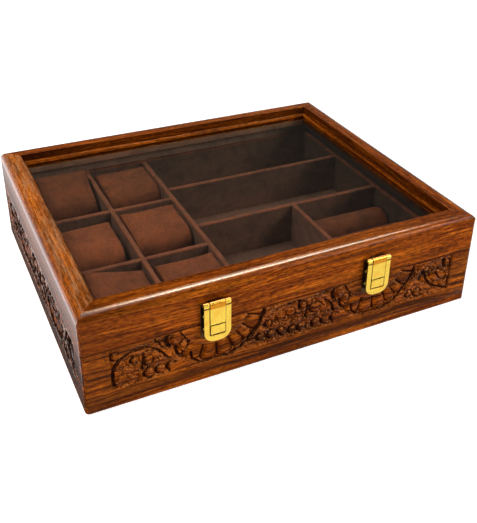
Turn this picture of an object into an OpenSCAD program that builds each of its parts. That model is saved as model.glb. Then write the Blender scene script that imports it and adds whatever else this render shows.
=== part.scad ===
// Glass-topped wooden organizer for watches, rings and bracelets.
// A carved base with a suede-lined tray, a mitred lid frame with a glass pane,
// two butt hinges at the back and two flap latches at the front.
// Origin: middle of the underside. +X to the right, +Y to the back, +Z up. Millimetres.

/* [Box] */
// Outside width, left to right
box_w = 305; // [260:1:380]
// Outside depth, front to back
box_d = 254; // [220:1:320]
// Height of the base, from the table to the seam
base_h = 47; // [44:0.5:60]
// Height of the lid above the seam
lid_h = 29.6; // [28:0.2:40]
// Gap between the closed lid and the base
seam_gap = 0.4; // [0.2:0.1:0.8]
// Thickness of the four base boards
board_t = 10; // [8:0.5:12]
// Thickness of the bottom board, whose edge shows as a strip at the foot
floor_t = 6.5; // [5:0.5:8]
// Radius of the four upright outer corners
corner_r = 3; // [1:0.5:5]

/* [Carved panels] */
// Plain wood between a carved panel and the end of its board
panel_end = 18; // [14:1:26]
// Height of the foot of a carved panel above the table
panel_low = 14; // [11:0.5:17]
// Plain wood between the top of a carved panel and the seam
panel_drop = 4; // [3:0.5:6]
// Depth of the ground behind the carving
carve_depth = 2.4; // [1.5:0.1:3]
// Height of the leaves and the stem above that ground
relief_h = 1.8; // [1:0.1:2.2]
// Distance from a trough of the vine inwards from the latch over it
trough_inset = 4.5; // [0:0.5:8]
// Width of the vine's stem
stem_w = 2.6; // [1.6:0.1:3.4]
// Clear margin between the stem and the edge of the panel
stem_margin = 2.2; // [1.5:0.1:4]
// Radius of the plain field left round the foot of a latch
latch_field_r = 17; // [15:0.5:19]
// Radius of the flower under each crest of the vine
flower_r = 4.6; // [3:0.1:5]
// Radius of the round lobes along the foot of the panel
lobe_r = 2.3; // [1.5:0.1:2.6]
// Width of one finger of the leaf that fans round a latch
finger_w = 4.6; // [3:0.1:5]
// Length of one finger of that leaf
finger_l = 7.4; // [5:0.1:8]
// Clear ground between the stem and a flower above or a finger below it
leaf_clear = 1.2; // [0.8:0.1:2]
// Clear ground between two round lobes
lobe_clear = 1.4; // [1:0.1:2]
// Angle between two fingers of a fan
fan_step = 20; // [18:1:30]

/* [Tray] */
// Thickness of the tray's four walls
tray_wall = 4; // [3:0.5:6]
// Thickness of the padded tray floor
tray_floor_t = 8.5; // [4:0.5:10]
// Height of the tray's rim above the seam
lip_h = 3; // [1:0.5:4]
// Thickness of the dividers
divider_t = 4; // [3:0.5:5]
// Clear width of the two pillow columns together, with their divider
pillow_side_w = 107; // [105:1:112]
// Distance of the divider between the two columns to the right of their middle
column_shift = 2.5; // [0:0.1:3]
// Depth of the two rear pillow rows beyond an equal share, each
row_extra = 1.1; // [0:0.1:1.5]
// Clear depth of the two compartments at the front right
front_bay_d = 98; // [92:1:110]
// Depth of the middle long compartment beyond that of the rear one
middle_extra = 4; // [0:1:10]
// Clear width of the compartment for the ring rolls
ring_bay_w = 78.5; // [60:0.5:90]
// Clearance in the cross-lap joints of the dividers, on each side
lap_gap = 0.1; // [0:0.05:0.3]

/* [Watch pillows] */
// Width of a pillow
pillow_w = 46; // [42:0.5:46.5]
// Depth of a pillow, front to back
pillow_d = 52; // [46:1:54]
// Height of a pillow
pillow_h = 34; // [32:0.5:35]
// Radius of a pillow's two long front edges
pillow_r = 15.5; // [10:0.5:15.5]
// Radius of a pillow's two long back edges
pillow_back_r = 6; // [3:0.5:7.5]
// Air round a pillow that lies against a divider or the floor
pillow_gap = 0.3; // [0.2:0.1:0.5]
// Angle at which the rear left pillow is tipped up at its back
rear_tip = 25; // [0:1:25]
// Angle at which the front left pillow is tipped up at its left end
side_tip = 13; // [0:1:13]
// Gap between the rear left pillow and the divider on its right
rear_left_side = 2.7; // [2:0.1:4]
// Gap between the rear left pillow and the wall behind it
rear_left_behind = 0.6; // [0.5:0.1:4]
// Gap between the rear right pillow and the wall behind it
rear_right_behind = 2.5; // [0.5:0.1:6]
// Gap between the middle left pillow and the divider on its right
middle_left_side = 4.6; // [3:0.1:6]
// Gap between the middle left pillow and the divider behind it
middle_left_behind = 7.7; // [0.5:0.1:9]
// Gap between the middle right pillow and the divider on its right
middle_right_side = 1.3; // [0.3:0.1:3]
// Gap between the middle right pillow and the divider behind it
middle_right_behind = 1.2; // [0.5:0.1:6]
// Gap between the front left pillow and the divider on its right
front_left_side = 1.1; // [0.5:0.1:1.5]
// Gap between the front left pillow and the divider behind it
front_left_behind = 4.9; // [0.5:0.1:8]
// Gap between the front right pillow and the divider behind it
front_right_behind = 4.9; // [0.5:0.1:8]

/* [Ring rolls] */
// Spacing of the rolls, front to back
roll_pitch = 29.5; // [24:0.5:31]
// Height of a roll
roll_h = 21; // [17:0.5:26]
// Gap between neighbouring rolls at the foot
roll_gap = 0.3; // [0.2:0.1:1]
// Gap at each end of a roll
roll_end_gap = 0.4; // [0.2:0.1:1]

/* [Lid] */
// Width of the lid's frame seen from above
rail_w = 15; // [13:0.5:20]
// Radius of the frame's outer top edge
rail_round = 7; // [4:0.5:8]
// Clearance between the lid's wall and the rim of the tray
lip_gap = 0.5; // [0.3:0.1:1]
// Depth of the glass's top face under the top of the frame
glass_drop = 9; // [7:0.5:11]
// Thickness of the glass
glass_t = 3; // [2:0.5:4]
// Width of the ledge under the glass
ledge_w = 3; // [2:0.5:4]
// Thickness of that ledge
ledge_t = 5; // [3:0.5:6]
// Gap round the edge of the glass
glass_gap = 0.3; // [0.2:0.1:0.6]
// Side of the square glazing bead
bead = 3; // [2:0.5:4]

/* [Hinges] */
// Distance of each hinge's middle from the end of the box
hinge_end = 60.5; // [30:0.5:80]
// Length of a hinge along the back
hinge_w = 30; // [24:1:40]
// Depth of a leaf let into the wood
leaf_d = 8; // [6:0.5:9]
// Thickness of a leaf
leaf_t = 1.2; // [0.8:0.1:1.6]
// Radius of the knuckles
knuckle_r = 2.3; // [2:0.1:3]
// Gap between the knuckles and the back of the box
knuckle_gap = 0.3; // [0.2:0.1:0.6]
// Gap between neighbouring knuckles
knuckle_split = 0.3; // [0.2:0.1:0.5]
// Radius of the hinge pin
hinge_pin_r = 1; // [0.8:0.1:1.2]
// Clearance round a pin that turns in its bore
run_gap = 0.05; // [0.02:0.01:0.1]
// Radius of the head of a hinge screw
screw_head_r = 1.9; // [1.5:0.1:2.2]
// Radius of the shank of a hinge screw
screw_r = 0.9; // [0.7:0.1:1.2]
// Length of a hinge screw
screw_l = 7; // [5:0.5:10]

/* [Latches] */
// Plain wood between each latch and the end of the box
latch_end = 79.5; // [70:0.5:84]
// Width of the two plates
plate_w = 21; // [19:0.5:24]
// Thickness of the plates
plate_t = 0.8; // [0.6:0.1:1]
// Height of the lid's plate above the seam
lid_plate_h = 16; // [15:0.5:18]
// Height of the base's plate below the seam
base_plate_h = 12.6; // [11:0.2:14]
// Width of the raised middle of the plates
boss_w = 10.6; // [9:0.2:12]
// Height of the raised middle off the wood
boss_h = 4.8; // [2.5:0.1:4.9]
// Rise of the lid's raised middle above the seam
lid_boss_h = 12.4; // [11:0.2:13]
// Fall of the base's raised middle below the seam
base_boss_h = 7.4; // [6:0.2:9]
// Height of the latch's pin above the seam
latch_pin_z = 16; // [15.5:0.1:17]
// Distance of the latch's pin from the wood
latch_pin_out = 3; // [2.8:0.1:3.4]
// Radius of the latch's pin
latch_pin_r = 0.8; // [0.6:0.1:1]
// Outer radius of the curls round the pin
curl_r = 1.9; // [1.5:0.1:2]
// Width of the flap
flap_w = 20.6; // [18:0.2:24]
// Thickness of the flap
flap_t = 1; // [0.8:0.1:1.2]
// Distance of the flap's foot below the seam
flap_foot = 13; // [12:0.2:15]
// Radius of the flap's round foot corners
flap_r = 8; // [5:0.2:9]
// Gap between the flap and the raised middle, seen from the front
flap_window_gap = 0.5; // [0.3:0.1:0.8]
// Gap between the flap's curls and the plate's curl along the pin
curl_split = 0.3; // [0.2:0.1:0.5]
// Radius of a nail's head
nail_head_r = 1.3; // [1:0.1:1.5]
// Height of a nail's head
nail_head_h = 0.6; // [0.4:0.1:0.8]
// Radius of a nail's shank
nail_r = 0.6; // [0.5:0.1:0.8]
// Length of a nail in the wood
nail_l = 5; // [3:0.5:6.5]

/* [Hidden] */
$fn = 48;
eps = 0.01;

wood = [0.55, 0.29, 0.11];
suede = [0.36, 0.22, 0.17];
brass = [0.86, 0.7, 0.28];
clear_glass = [0.75, 0.82, 0.8, 0.35];

// Levels
lid_z = base_h + seam_gap;
top_z = lid_z + lid_h;
glass_z = top_z - glass_drop - glass_t;
tray_floor_z = floor_t + tray_floor_t;
rim_z = base_h + lip_h;
divider_h = rim_z - tray_floor_z;

// Inner faces of the tray
bay_left = -box_w/2 + board_t + tray_wall;
bay_right = -bay_left;
bay_front = -box_d/2 + board_t + tray_wall;
bay_back = -bay_front;

// Middles of the dividers
main_x = bay_left + pillow_side_w + divider_t/2;
pillow_div_x = bay_left + pillow_side_w/2 + column_shift;
row_d = (bay_back - bay_front - 2*divider_t)/3 + row_extra;
rear_bay_d = (bay_back - bay_front - front_bay_d - 2*divider_t - middle_extra)/2;
row_rear_y = bay_back - row_d - divider_t/2;
row_front_y = row_rear_y - divider_t - row_d;
rear_div_y = bay_back - rear_bay_d - divider_t/2;
middle_div_y = bay_front + front_bay_d + divider_t/2;
ring_div_x = bay_right - ring_bay_w - divider_t/2;

// What stands to the right of each pillow column, and behind each row from the front
column_right = [pillow_div_x - divider_t/2, main_x - divider_t/2];
row_back = [row_front_y - divider_t/2, row_rear_y - divider_t/2, bay_back];

// Carved panels, with a trough of the vine near each latch
latch_x = box_w/2 - latch_end - plate_w/2;
vine_period = 2*(latch_x - trough_inset);
panel_h = base_h - panel_drop - panel_low;
stem_amp = (panel_h - stem_w)/2 - stem_margin;
wave_step = 4;
field_rise = latch_field_r/4;
crest_room = 3*lobe_r + 2*lobe_clear + stem_margin + 2;
trough_room = latch_field_r + finger_w*2;

// Hinges
hinge_x = box_w/2 - hinge_end;
hinge_y = box_d/2 + knuckle_gap + knuckle_r;
hinge_z = base_h + seam_gap/2;
knuckle_w = hinge_w/3;
pin_head_h = 0.8;
pin_head_r = hinge_pin_r + 0.7;
leaf_screw_x = hinge_w/2 - 2*screw_head_r - 1;
leaf_screw_y = box_d/2 - leaf_d/2;
pilot_gap = 0.05;

// Latches
lid_wall = board_t - lip_gap;
latch_axis_z = lid_z + latch_pin_z;
flap_back = latch_pin_out + curl_r - flap_t;
flap_window_w = boss_w + 2*flap_window_gap;
window_foot = base_boss_h + flap_window_gap;
nail_x = (boss_w + plate_w)/4;
lid_nail_z = lid_z + lid_boss_h/2;
base_nail_z = base_h - base_boss_h/2;
plate_foot_r = 4;

// ---------------------------------------------------------------- outlines

// Rectangle centred on X and Y with round corners
module round_rect(w, d, r) {
    square([w - 2*r, d], center = true);
    square([w, d - 2*r], center = true);
    for (sx = [-1, 1], sy = [-1, 1])
        translate([sx*(w/2 - r), sy*(d/2 - r)]) circle(r);
}

// Plan of one mitred side of a frame w long; its outer edge lies on y = -d/2
module mitre_plan(w, d, reach) {
    polygon([[-w/2, -d/2], [w/2, -d/2], [w/2 - reach, -d/2 + reach], [-w/2 + reach, -d/2 + reach]]);
}

// What the round upright corners take off a side whose outer edge lies on y = -d/2
module corner_waste(w, d, h) {
    for (s = [-1, 1])
        translate([s*w/2, -d/2, -eps]) mirror([s > 0 ? 1 : 0, 0, 0])
            linear_extrude(h + 2*eps) difference() {
                translate([-eps, -eps]) square(corner_r + eps);
                translate([corner_r, corner_r]) circle(corner_r);
            }
}

// Turns a side made at the front to the side asked for
module to_side(angle) rotate([0, 0, angle]) children();

// ---------------------------------------------------------------- carving

function vine_z(u) = panel_h/2 + stem_amp*cos(360*u/vine_period);
function vine_slope(u) = -stem_amp*360/vine_period*PI/180*sin(360*u/vine_period);

// A point of the stem's edge, off to the side by half its width
function stem_point(u, side) =
    let(m = vine_slope(u), k = side*stem_w/2/sqrt(1 + m*m))
    [u - k*m, vine_z(u) + k];

// Wave of the stem along a panel w wide
module stem_plan(w) {
    reach = w/2 - stem_margin - stem_w/2;
    n = ceil(2*reach/wave_step);
    us = [for (i = [0:n]) -reach + 2*reach*i/n];
    polygon(concat(
        [for (u = us) stem_point(u, 1)],
        [for (i = [n:-1:0]) stem_point(us[i], -1)]));
}

// A finger with round ends, lying along Y and centred
module finger_plan() {
    square([finger_w, finger_l - finger_w], center = true);
    for (s = [-1, 1]) translate([0, s*(finger_l - finger_w)/2]) circle(finger_w/2);
}

// Flower and foot lobes under a crest at u
module crest_plan(u) {
    translate([u, vine_z(0) - stem_w/2 - flower_r - 2.5*leaf_clear]) circle(flower_r);
    for (k = [-2:2])
        translate([u + k*(2*lobe_r + lobe_clear), stem_margin + lobe_r]) circle(lobe_r);
}

// Fan of fingers round a trough at u
module trough_plan(u) {
    fan_z = panel_h + field_rise;
    fan_r = fan_z - vine_z(vine_period/2) - stem_w/2 - finger_l/2 - leaf_clear;
    for (k = [-3:3], a = k*fan_step)
        translate([u + fan_r*sin(a), fan_z - fan_r*cos(a)]) rotate([0, 0, a]) finger_plan();
}

// The whole relief on a panel w wide
module relief_plan(w) {
    crests = floor((w/2 - crest_room)/vine_period);
    troughs = floor((w/2 - trough_room)/vine_period + 0.5);
    stem_plan(w);
    for (i = [-crests:crests]) crest_plan(i*vine_period);
    for (i = [0:1:troughs - 1], s = [-1, 1]) trough_plan(s*(i + 0.5)*vine_period);
}

// Sunk ground of a panel; fields holds the places that stay plain
module ground_plan(w, fields) {
    difference() {
        translate([-w/2, 0]) square([w, panel_h]);
        for (u = fields) translate([u, panel_h + field_rise]) circle(latch_field_r);
    }
}

// ---------------------------------------------------------------- base

// One base board at the front, w long on a box d deep, carved or plain
module base_board(w, d, carved, fields) {
    panel_w = w - 2*panel_end;
    color(wood) {
        difference() {
            translate([0, 0, floor_t]) linear_extrude(base_h - floor_t) mitre_plan(w, d, board_t);
            translate([0, 0, floor_t]) corner_waste(w, d, base_h - floor_t);
            if (carved)
                translate([0, -d/2 + carve_depth, panel_low]) rotate([90, 0, 0])
                    linear_extrude(carve_depth + 1) ground_plan(panel_w, fields);
        }
        if (carved)
            translate([0, -d/2 + carve_depth + relief_h/2, panel_low]) rotate([90, 0, 0])
                linear_extrude(relief_h*3/2) relief_plan(panel_w);
    }
}

module base_floor() {
    color(wood) linear_extrude(floor_t) round_rect(box_w, box_d, corner_r);
}

module base_front() {
    difference() {
        base_board(box_w, box_d, true, [-latch_x, latch_x]);
        for (s = [-1, 1]) translate([s*latch_x, 0, base_nail_z]) nail_holes();
    }
}

module base_back() {
    difference() {
        to_side(180) base_board(box_w, box_d, false, []);
        for (s = [-1, 1]) translate([s*hinge_x, 0, 0]) {
            leaf_seat(base_h - leaf_t);
            leaf_screw_places() translate([0, 0, base_h - screw_l])
                cylinder(h = screw_l, r = screw_r + pilot_gap);
        }
    }
}

module base_left() to_side(-90) base_board(box_d, box_w, true, []);
module base_right() to_side(90) base_board(box_d, box_w, true, []);

// ---------------------------------------------------------------- tray

module tray_floor() {
    color(suede) translate([bay_left, bay_front, floor_t])
        cube([bay_right - bay_left, bay_back - bay_front, tray_floor_t]);
}

// Long tray wall along X, with its lower left front corner at y
module tray_long(y) {
    color(suede) translate([bay_left - tray_wall, y, floor_t])
        cube([bay_right - bay_left + 2*tray_wall, tray_wall, rim_z - floor_t]);
}

// Short tray wall along Y, with its lower left front corner at x
module tray_short(x) {
    color(suede) translate([x, bay_front, floor_t])
        cube([tray_wall, bay_back - bay_front, rim_z - floor_t]);
}

module tray_front() tray_long(bay_front - tray_wall);
module tray_back() tray_long(bay_back);
module tray_left() tray_short(bay_left - tray_wall);
module tray_right() tray_short(bay_right);

// Divider along X between x0 and x1
module divider_x(x0, x1, y) {
    color(suede) translate([x0, y - divider_t/2, tray_floor_z]) cube([x1 - x0, divider_t, divider_h]);
}

// Divider along Y between y0 and y1
module divider_y(y0, y1, x) {
    color(suede) translate([x - divider_t/2, y0, tray_floor_z]) cube([divider_t, y1 - y0, divider_h]);
}

module main_divider() divider_y(bay_front, bay_back, main_x);
module rear_divider() divider_x(main_x + divider_t/2, bay_right, rear_div_y);
module middle_divider() divider_x(main_x + divider_t/2, bay_right, middle_div_y);
module ring_divider() divider_y(bay_front, middle_div_y - divider_t/2, ring_div_x);

// Slots open at the foot, where the divider drops over the row dividers
module pillow_divider() {
    slot = divider_t + 2*lap_gap;
    difference() {
        divider_y(bay_front, bay_back, pillow_div_x);
        for (y = [row_front_y, row_rear_y])
            translate([pillow_div_x - slot/2, y - slot/2, tray_floor_z - divider_h/2])
                cube([slot, slot, divider_h]);
    }
}

// Row divider with a slot open at the top
module row_divider(y) {
    slot = divider_t + 2*lap_gap;
    difference() {
        divider_x(bay_left, main_x - divider_t/2, y);
        translate([pillow_div_x - slot/2, y - slot/2, tray_floor_z + divider_h/2])
            cube([slot, slot, divider_h]);
    }
}

module row_divider_front() row_divider(row_front_y);
module row_divider_rear() row_divider(row_rear_y);

// ---------------------------------------------------------------- soft parts

// Section of a pillow: well rounded at the front, sharper at the back
module pillow_section() {
    round_rect(pillow_d, pillow_h, pillow_r);
    translate([pillow_d/4, 0]) round_rect(pillow_d/2, pillow_h, pillow_back_r);
}

// A pillow in column 0 or 1 and row 0 (front) to 2, at a distance from the divider on its
// right and from what is behind it, tipped up at its left end by roll and at its back by pitch
module pillow(column, row, right_gap, back_gap, roll = 0, pitch = 0) {
    reach_x = pillow_w/2*cos(roll) + pillow_h*sin(roll);
    reach_y = (pillow_d/2 - pillow_back_r)*cos(pitch) + pillow_back_r*(1 - sin(pitch));
    rise = pillow_w/2*sin(roll)
        + (pillow_d/2 - pillow_r)*sin(pitch) + pillow_r*(1 - cos(pitch));
    color(suede)
        translate([column_right[column] - right_gap - reach_x,
            row_back[row] - back_gap - reach_y, tray_floor_z + pillow_gap + rise])
        rotate([pitch, roll, 0]) translate([-pillow_w/2, 0, pillow_h/2])
            rotate([90, 0, 90]) linear_extrude(pillow_w) pillow_section();
}

module pillow_rear_left() pillow(0, 2, rear_left_side, rear_left_behind, pitch = rear_tip);
module pillow_rear_right() pillow(1, 2, pillow_gap, rear_right_behind);
module pillow_middle_left() pillow(0, 1, middle_left_side, middle_left_behind);
module pillow_middle_right() pillow(1, 1, middle_right_side, middle_right_behind);
module pillow_front_left() pillow(0, 0, front_left_side, front_left_behind, roll = side_tip);
module pillow_front_right() pillow(1, 0, pillow_gap, front_right_behind);

// Ring roll number i, counted from the middle divider towards the front
module ring_roll(i) {
    w = roll_pitch - roll_gap;
    y = middle_div_y - divider_t/2 - roll_pitch*(i + 1) + roll_gap/2 + w/2;
    color(suede) translate([ring_div_x + divider_t/2 + roll_end_gap, y, tray_floor_z])
        rotate([90, 0, 90]) linear_extrude(ring_bay_w - 2*roll_end_gap) {
            intersection() {
                translate([0, roll_h - w/2]) circle(w/2);
                translate([-w/2, 0]) square([w, roll_h]);
            }
            translate([-w/2, 0]) square([w, roll_h - w/2]);
        }
}

module ring_roll_rear() ring_roll(0);
module ring_roll_middle() ring_roll(1);
module ring_roll_front() ring_roll(2);

// ---------------------------------------------------------------- lid

// Section of a frame rail: X inwards from the outer face, Y up from the seam
module rail_section() {
    glass_level = glass_z - lid_z;
    difference() {
        square([rail_w + ledge_w, lid_h]);
        translate([rail_w, glass_level]) square([ledge_w + eps, lid_h]);
        translate([lid_wall, -eps]) square([rail_w + ledge_w, glass_level - ledge_t + eps]);
        translate([-eps, lid_h - rail_round]) difference() {
            square(rail_round + eps);
            translate([rail_round + eps, 0]) circle(rail_round);
        }
    }
}

// One rail at the front of a lid w long and d deep
module rail(w, d) {
    color(wood) translate([0, 0, lid_z]) difference() {
        intersection() {
            translate([-w/2, -d/2, 0]) rotate([90, 0, 90]) linear_extrude(w) rail_section();
            linear_extrude(lid_h) mitre_plan(w, d, rail_w + ledge_w);
        }
        corner_waste(w, d, lid_h);
    }
}

module lid_front() {
    difference() {
        rail(box_w, box_d);
        for (s = [-1, 1]) translate([s*latch_x, 0, lid_nail_z]) nail_holes();
    }
}

module lid_back() {
    difference() {
        to_side(180) rail(box_w, box_d);
        for (s = [-1, 1]) translate([s*hinge_x, 0, 0]) {
            leaf_seat(lid_z);
            leaf_screw_places() translate([0, 0, lid_z])
                cylinder(h = screw_l, r = screw_r + pilot_gap);
        }
    }
}

module lid_left() to_side(-90) rail(box_d, box_w);
module lid_right() to_side(90) rail(box_d, box_w);

module lid_glass() {
    w = box_w - 2*(rail_w + glass_gap);
    d = box_d - 2*(rail_w + glass_gap);
    color(clear_glass) translate([-w/2, -d/2, glass_z]) cube([w, d, glass_t]);
}

// One glazing bead at the front of a frame w by d inside
module glazing_bead(w, d) {
    color(wood) translate([0, 0, glass_z + glass_t]) linear_extrude(bead) mitre_plan(w, d, bead);
}

module bead_front() glazing_bead(box_w - 2*rail_w, box_d - 2*rail_w);
module bead_back() to_side(180) glazing_bead(box_w - 2*rail_w, box_d - 2*rail_w);
module bead_left() to_side(-90) glazing_bead(box_d - 2*rail_w, box_w - 2*rail_w);
module bead_right() to_side(90) glazing_bead(box_d - 2*rail_w, box_w - 2*rail_w);

// ---------------------------------------------------------------- hinges

// Pocket for a leaf, its lower face at z
module leaf_seat(z) {
    translate([-hinge_w/2, box_d/2 - leaf_d, z]) cube([hinge_w, leaf_d + 1, leaf_t]);
}

// Repeats its children at the two screws of a leaf
module leaf_screw_places() {
    for (s = [-1, 1]) translate([s*leaf_screw_x, leaf_screw_y, 0]) children();
}

// Countersunk screw, its head's top face at z = 0, pointing down
module screw() {
    translate([0, 0, -leaf_t]) cylinder(h = leaf_t, r1 = screw_r, r2 = screw_head_r);
    translate([0, 0, -screw_l]) cylinder(h = screw_l - leaf_t + eps, r = screw_r);
}

// A leaf with its lower face at z; its knuckles fill the thirds of the barrel named in thirds
module leaf(z, thirds, bore_r, head_up) {
    color(brass) difference() {
        union() {
            translate([-hinge_w/2, box_d/2 - leaf_d, z]) cube([hinge_w, leaf_d, leaf_t]);
            for (i = thirds) {
                x0 = -hinge_w/2 + i*knuckle_w + (i > 0 ? knuckle_split/2 : 0);
                x1 = -hinge_w/2 + (i + 1)*knuckle_w - (i < 2 ? knuckle_split/2 : 0);
                translate([x0, box_d/2 - eps, z]) cube([x1 - x0, hinge_y - box_d/2 + eps, leaf_t]);
                translate([x0, hinge_y, hinge_z]) rotate([0, 90, 0])
                    cylinder(h = x1 - x0, r = knuckle_r);
            }
        }
        translate([-hinge_w/2 - 1, hinge_y, hinge_z]) rotate([0, 90, 0])
            cylinder(h = hinge_w + 2, r = bore_r);
        leaf_screw_places() translate([0, 0, head_up ? z + leaf_t : z])
            mirror([0, 0, head_up ? 0 : 1]) screw();
    }
}

module base_leaf() leaf(base_h - leaf_t, [0, 2], hinge_pin_r, true);
module lid_leaf() leaf(lid_z, [1], hinge_pin_r + run_gap, false);

module hinge_pin() {
    color(brass) translate([-hinge_w/2, hinge_y, hinge_z]) rotate([0, 90, 0]) {
        cylinder(h = hinge_w, r = hinge_pin_r);
        for (z = [-pin_head_h, hinge_w]) translate([0, 0, z]) cylinder(h = pin_head_h, r = pin_head_r);
    }
}

module hinge_left_base_leaf() translate([-hinge_x, 0, 0]) base_leaf();
module hinge_left_lid_leaf() translate([-hinge_x, 0, 0]) lid_leaf();
module hinge_left_pin() translate([-hinge_x, 0, 0]) hinge_pin();
module hinge_right_base_leaf() translate([hinge_x, 0, 0]) base_leaf();
module hinge_right_lid_leaf() translate([hinge_x, 0, 0]) lid_leaf();
module hinge_right_pin() translate([hinge_x, 0, 0]) hinge_pin();

module hinge_base_screws() {
    color(brass) for (s = [-1, 1]) translate([s*hinge_x, 0, base_h]) leaf_screw_places() screw();
}

module hinge_lid_screws() {
    color(brass) for (s = [-1, 1]) translate([s*hinge_x, 0, lid_z])
        leaf_screw_places() mirror([0, 0, 1]) screw();
}

// ---------------------------------------------------------------- latches

// Nails on both sides of a plate's raised middle, at z = 0
module nail_places() {
    for (s = [-1, 1]) translate([s*nail_x, -box_d/2, 0]) rotate([90, 0, 0]) children();
}

module nail_holes() {
    nail_places() translate([0, 0, -nail_l - 0.2]) cylinder(h = nail_l + 1, r = nail_r + pilot_gap);
}

module nail() {
    translate([0, 0, -nail_l]) cylinder(h = nail_l + plate_t + eps, r = nail_r);
    translate([0, 0, plate_t]) cylinder(h = nail_head_h, r1 = nail_head_r, r2 = nail_head_r*2/3);
}

// Box from the wood outwards: x0..x1 across, z0..z1 up, v0..v1 out
module slab(x0, x1, z0, z1, v0, v1) {
    translate([x0, -box_d/2 - v1, z0]) cube([x1 - x0, v1 - v0, z1 - z0]);
}

// Cylinder along X round the latch's pin
module on_pin(x0, x1, r) {
    translate([x0, -box_d/2 - latch_pin_out, latch_axis_z]) rotate([0, 90, 0])
        cylinder(h = x1 - x0, r = r);
}

// Plate on the lid, with the middle curl that holds the pin
module lid_plate() {
    curl_x = flap_window_w/2 - curl_split;
    color(brass) difference() {
        union() {
            slab(-plate_w/2, plate_w/2, lid_z + seam_gap, lid_z + lid_plate_h, 0, plate_t);
            slab(-boss_w/2, boss_w/2, lid_z + seam_gap, lid_z + lid_boss_h, 0, boss_h);
            slab(-curl_x, curl_x, latch_axis_z - curl_r, latch_axis_z, 0, latch_pin_out);
            on_pin(-curl_x, curl_x, curl_r);
        }
        on_pin(-plate_w, plate_w, latch_pin_r);
        translate([0, 0, lid_nail_z]) nail_places() translate([0, 0, -1])
            cylinder(h = plate_t + 2, r = nail_r + pilot_gap);
    }
}

// Plate on the base, with the raised middle that the flap closes over
module base_plate() {
    color(brass) difference() {
        union() {
            difference() {
                slab(-plate_w/2, plate_w/2, base_h - base_plate_h, base_h, 0, plate_t);
                for (s = [-1, 1])
                    translate([s*plate_w/2, -box_d/2 + 1, base_h - base_plate_h])
                        rotate([90, 0, 0]) mirror([s > 0 ? 1 : 0, 0, 0])
                            linear_extrude(plate_t + 2) difference() {
                                translate([-1, -1]) square(plate_foot_r + 1);
                                translate([plate_foot_r, plate_foot_r]) circle(plate_foot_r);
                            }
            }
            slab(-boss_w/2, boss_w/2, base_h - base_boss_h, base_h, 0, boss_h);
        }
        translate([0, 0, base_nail_z]) nail_places() translate([0, 0, -1])
            cylinder(h = plate_t + 2, r = nail_r + pilot_gap);
    }
}

// Flap: a flat loop round the raised middles, curled round the pin at its two top corners
module flap() {
    foot = base_h - flap_foot;
    color(brass) difference() {
        union() {
            translate([0, -box_d/2 - flap_back, (foot + latch_axis_z)/2]) rotate([90, 0, 0])
                linear_extrude(flap_t) {
                    round_rect(flap_w, latch_axis_z - foot, flap_r);
                    translate([-flap_w/2, 0]) square([flap_w, (latch_axis_z - foot)/2]);
                }
            for (s = [-1, 1]) mirror([s > 0 ? 0 : 1, 0, 0])
                on_pin(flap_window_w/2, flap_w/2, curl_r);
        }
        slab(-flap_window_w/2, flap_window_w/2, base_h - window_foot, latch_axis_z + curl_r + 1,
            0, flap_back + 2*flap_t);
        on_pin(-flap_w, flap_w, latch_pin_r + run_gap);
    }
}

module latch_pin() {
    color(brass) on_pin(-flap_w/2, flap_w/2, latch_pin_r);
}

module latch_left_lid_plate() translate([-latch_x, 0, 0]) lid_plate();
module latch_left_base_plate() translate([-latch_x, 0, 0]) base_plate();
module latch_left_flap() translate([-latch_x, 0, 0]) flap();
module latch_left_pin() translate([-latch_x, 0, 0]) latch_pin();
module latch_right_lid_plate() translate([latch_x, 0, 0]) lid_plate();
module latch_right_base_plate() translate([latch_x, 0, 0]) base_plate();
module latch_right_flap() translate([latch_x, 0, 0]) flap();
module latch_right_pin() translate([latch_x, 0, 0]) latch_pin();

module latch_lid_nails() {
    color(brass) for (s = [-1, 1]) translate([s*latch_x, 0, lid_nail_z]) nail_places() nail();
}

module latch_base_nails() {
    color(brass) for (s = [-1, 1]) translate([s*latch_x, 0, base_nail_z]) nail_places() nail();
}

// ---------------------------------------------------------------- nodes

base_floor();
base_front();
base_back();
base_left();
base_right();
tray_floor();
tray_front();
tray_back();
tray_left();
tray_right();
pillow_divider();
main_divider();
ring_divider();
rear_divider();
middle_divider();
row_divider_front();
row_divider_rear();
pillow_rear_left();
pillow_rear_right();
pillow_middle_left();
pillow_middle_right();
pillow_front_left();
pillow_front_right();
ring_roll_rear();
ring_roll_middle();
ring_roll_front();
lid_front();
lid_back();
lid_left();
lid_right();
lid_glass();
bead_front();
bead_back();
bead_left();
bead_right();
hinge_left_base_leaf();
hinge_left_lid_leaf();
hinge_left_pin();
hinge_right_base_leaf();
hinge_right_lid_leaf();
hinge_right_pin();
hinge_base_screws();
hinge_lid_screws();
latch_left_lid_plate();
latch_left_base_plate();
latch_left_flap();
latch_left_pin();
latch_right_lid_plate();
latch_right_base_plate();
latch_right_flap();
latch_right_pin();
latch_lid_nails();
latch_base_nails();
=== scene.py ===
"""Glass-topped wooden organizer for watches, rings and bracelets, dressed around its frame.

A carved base lined with suede, a mitred lid frame with a glass pane, six watch pillows,
three ring rolls, two butt hinges at the back and two brass flap latches at the front.
"""

from contextlib import contextmanager
from math import cos, radians, sin

import bmesh
import bpy
import numpy as np
from mathutils import Euler, Matrix, Vector, noise


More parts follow.
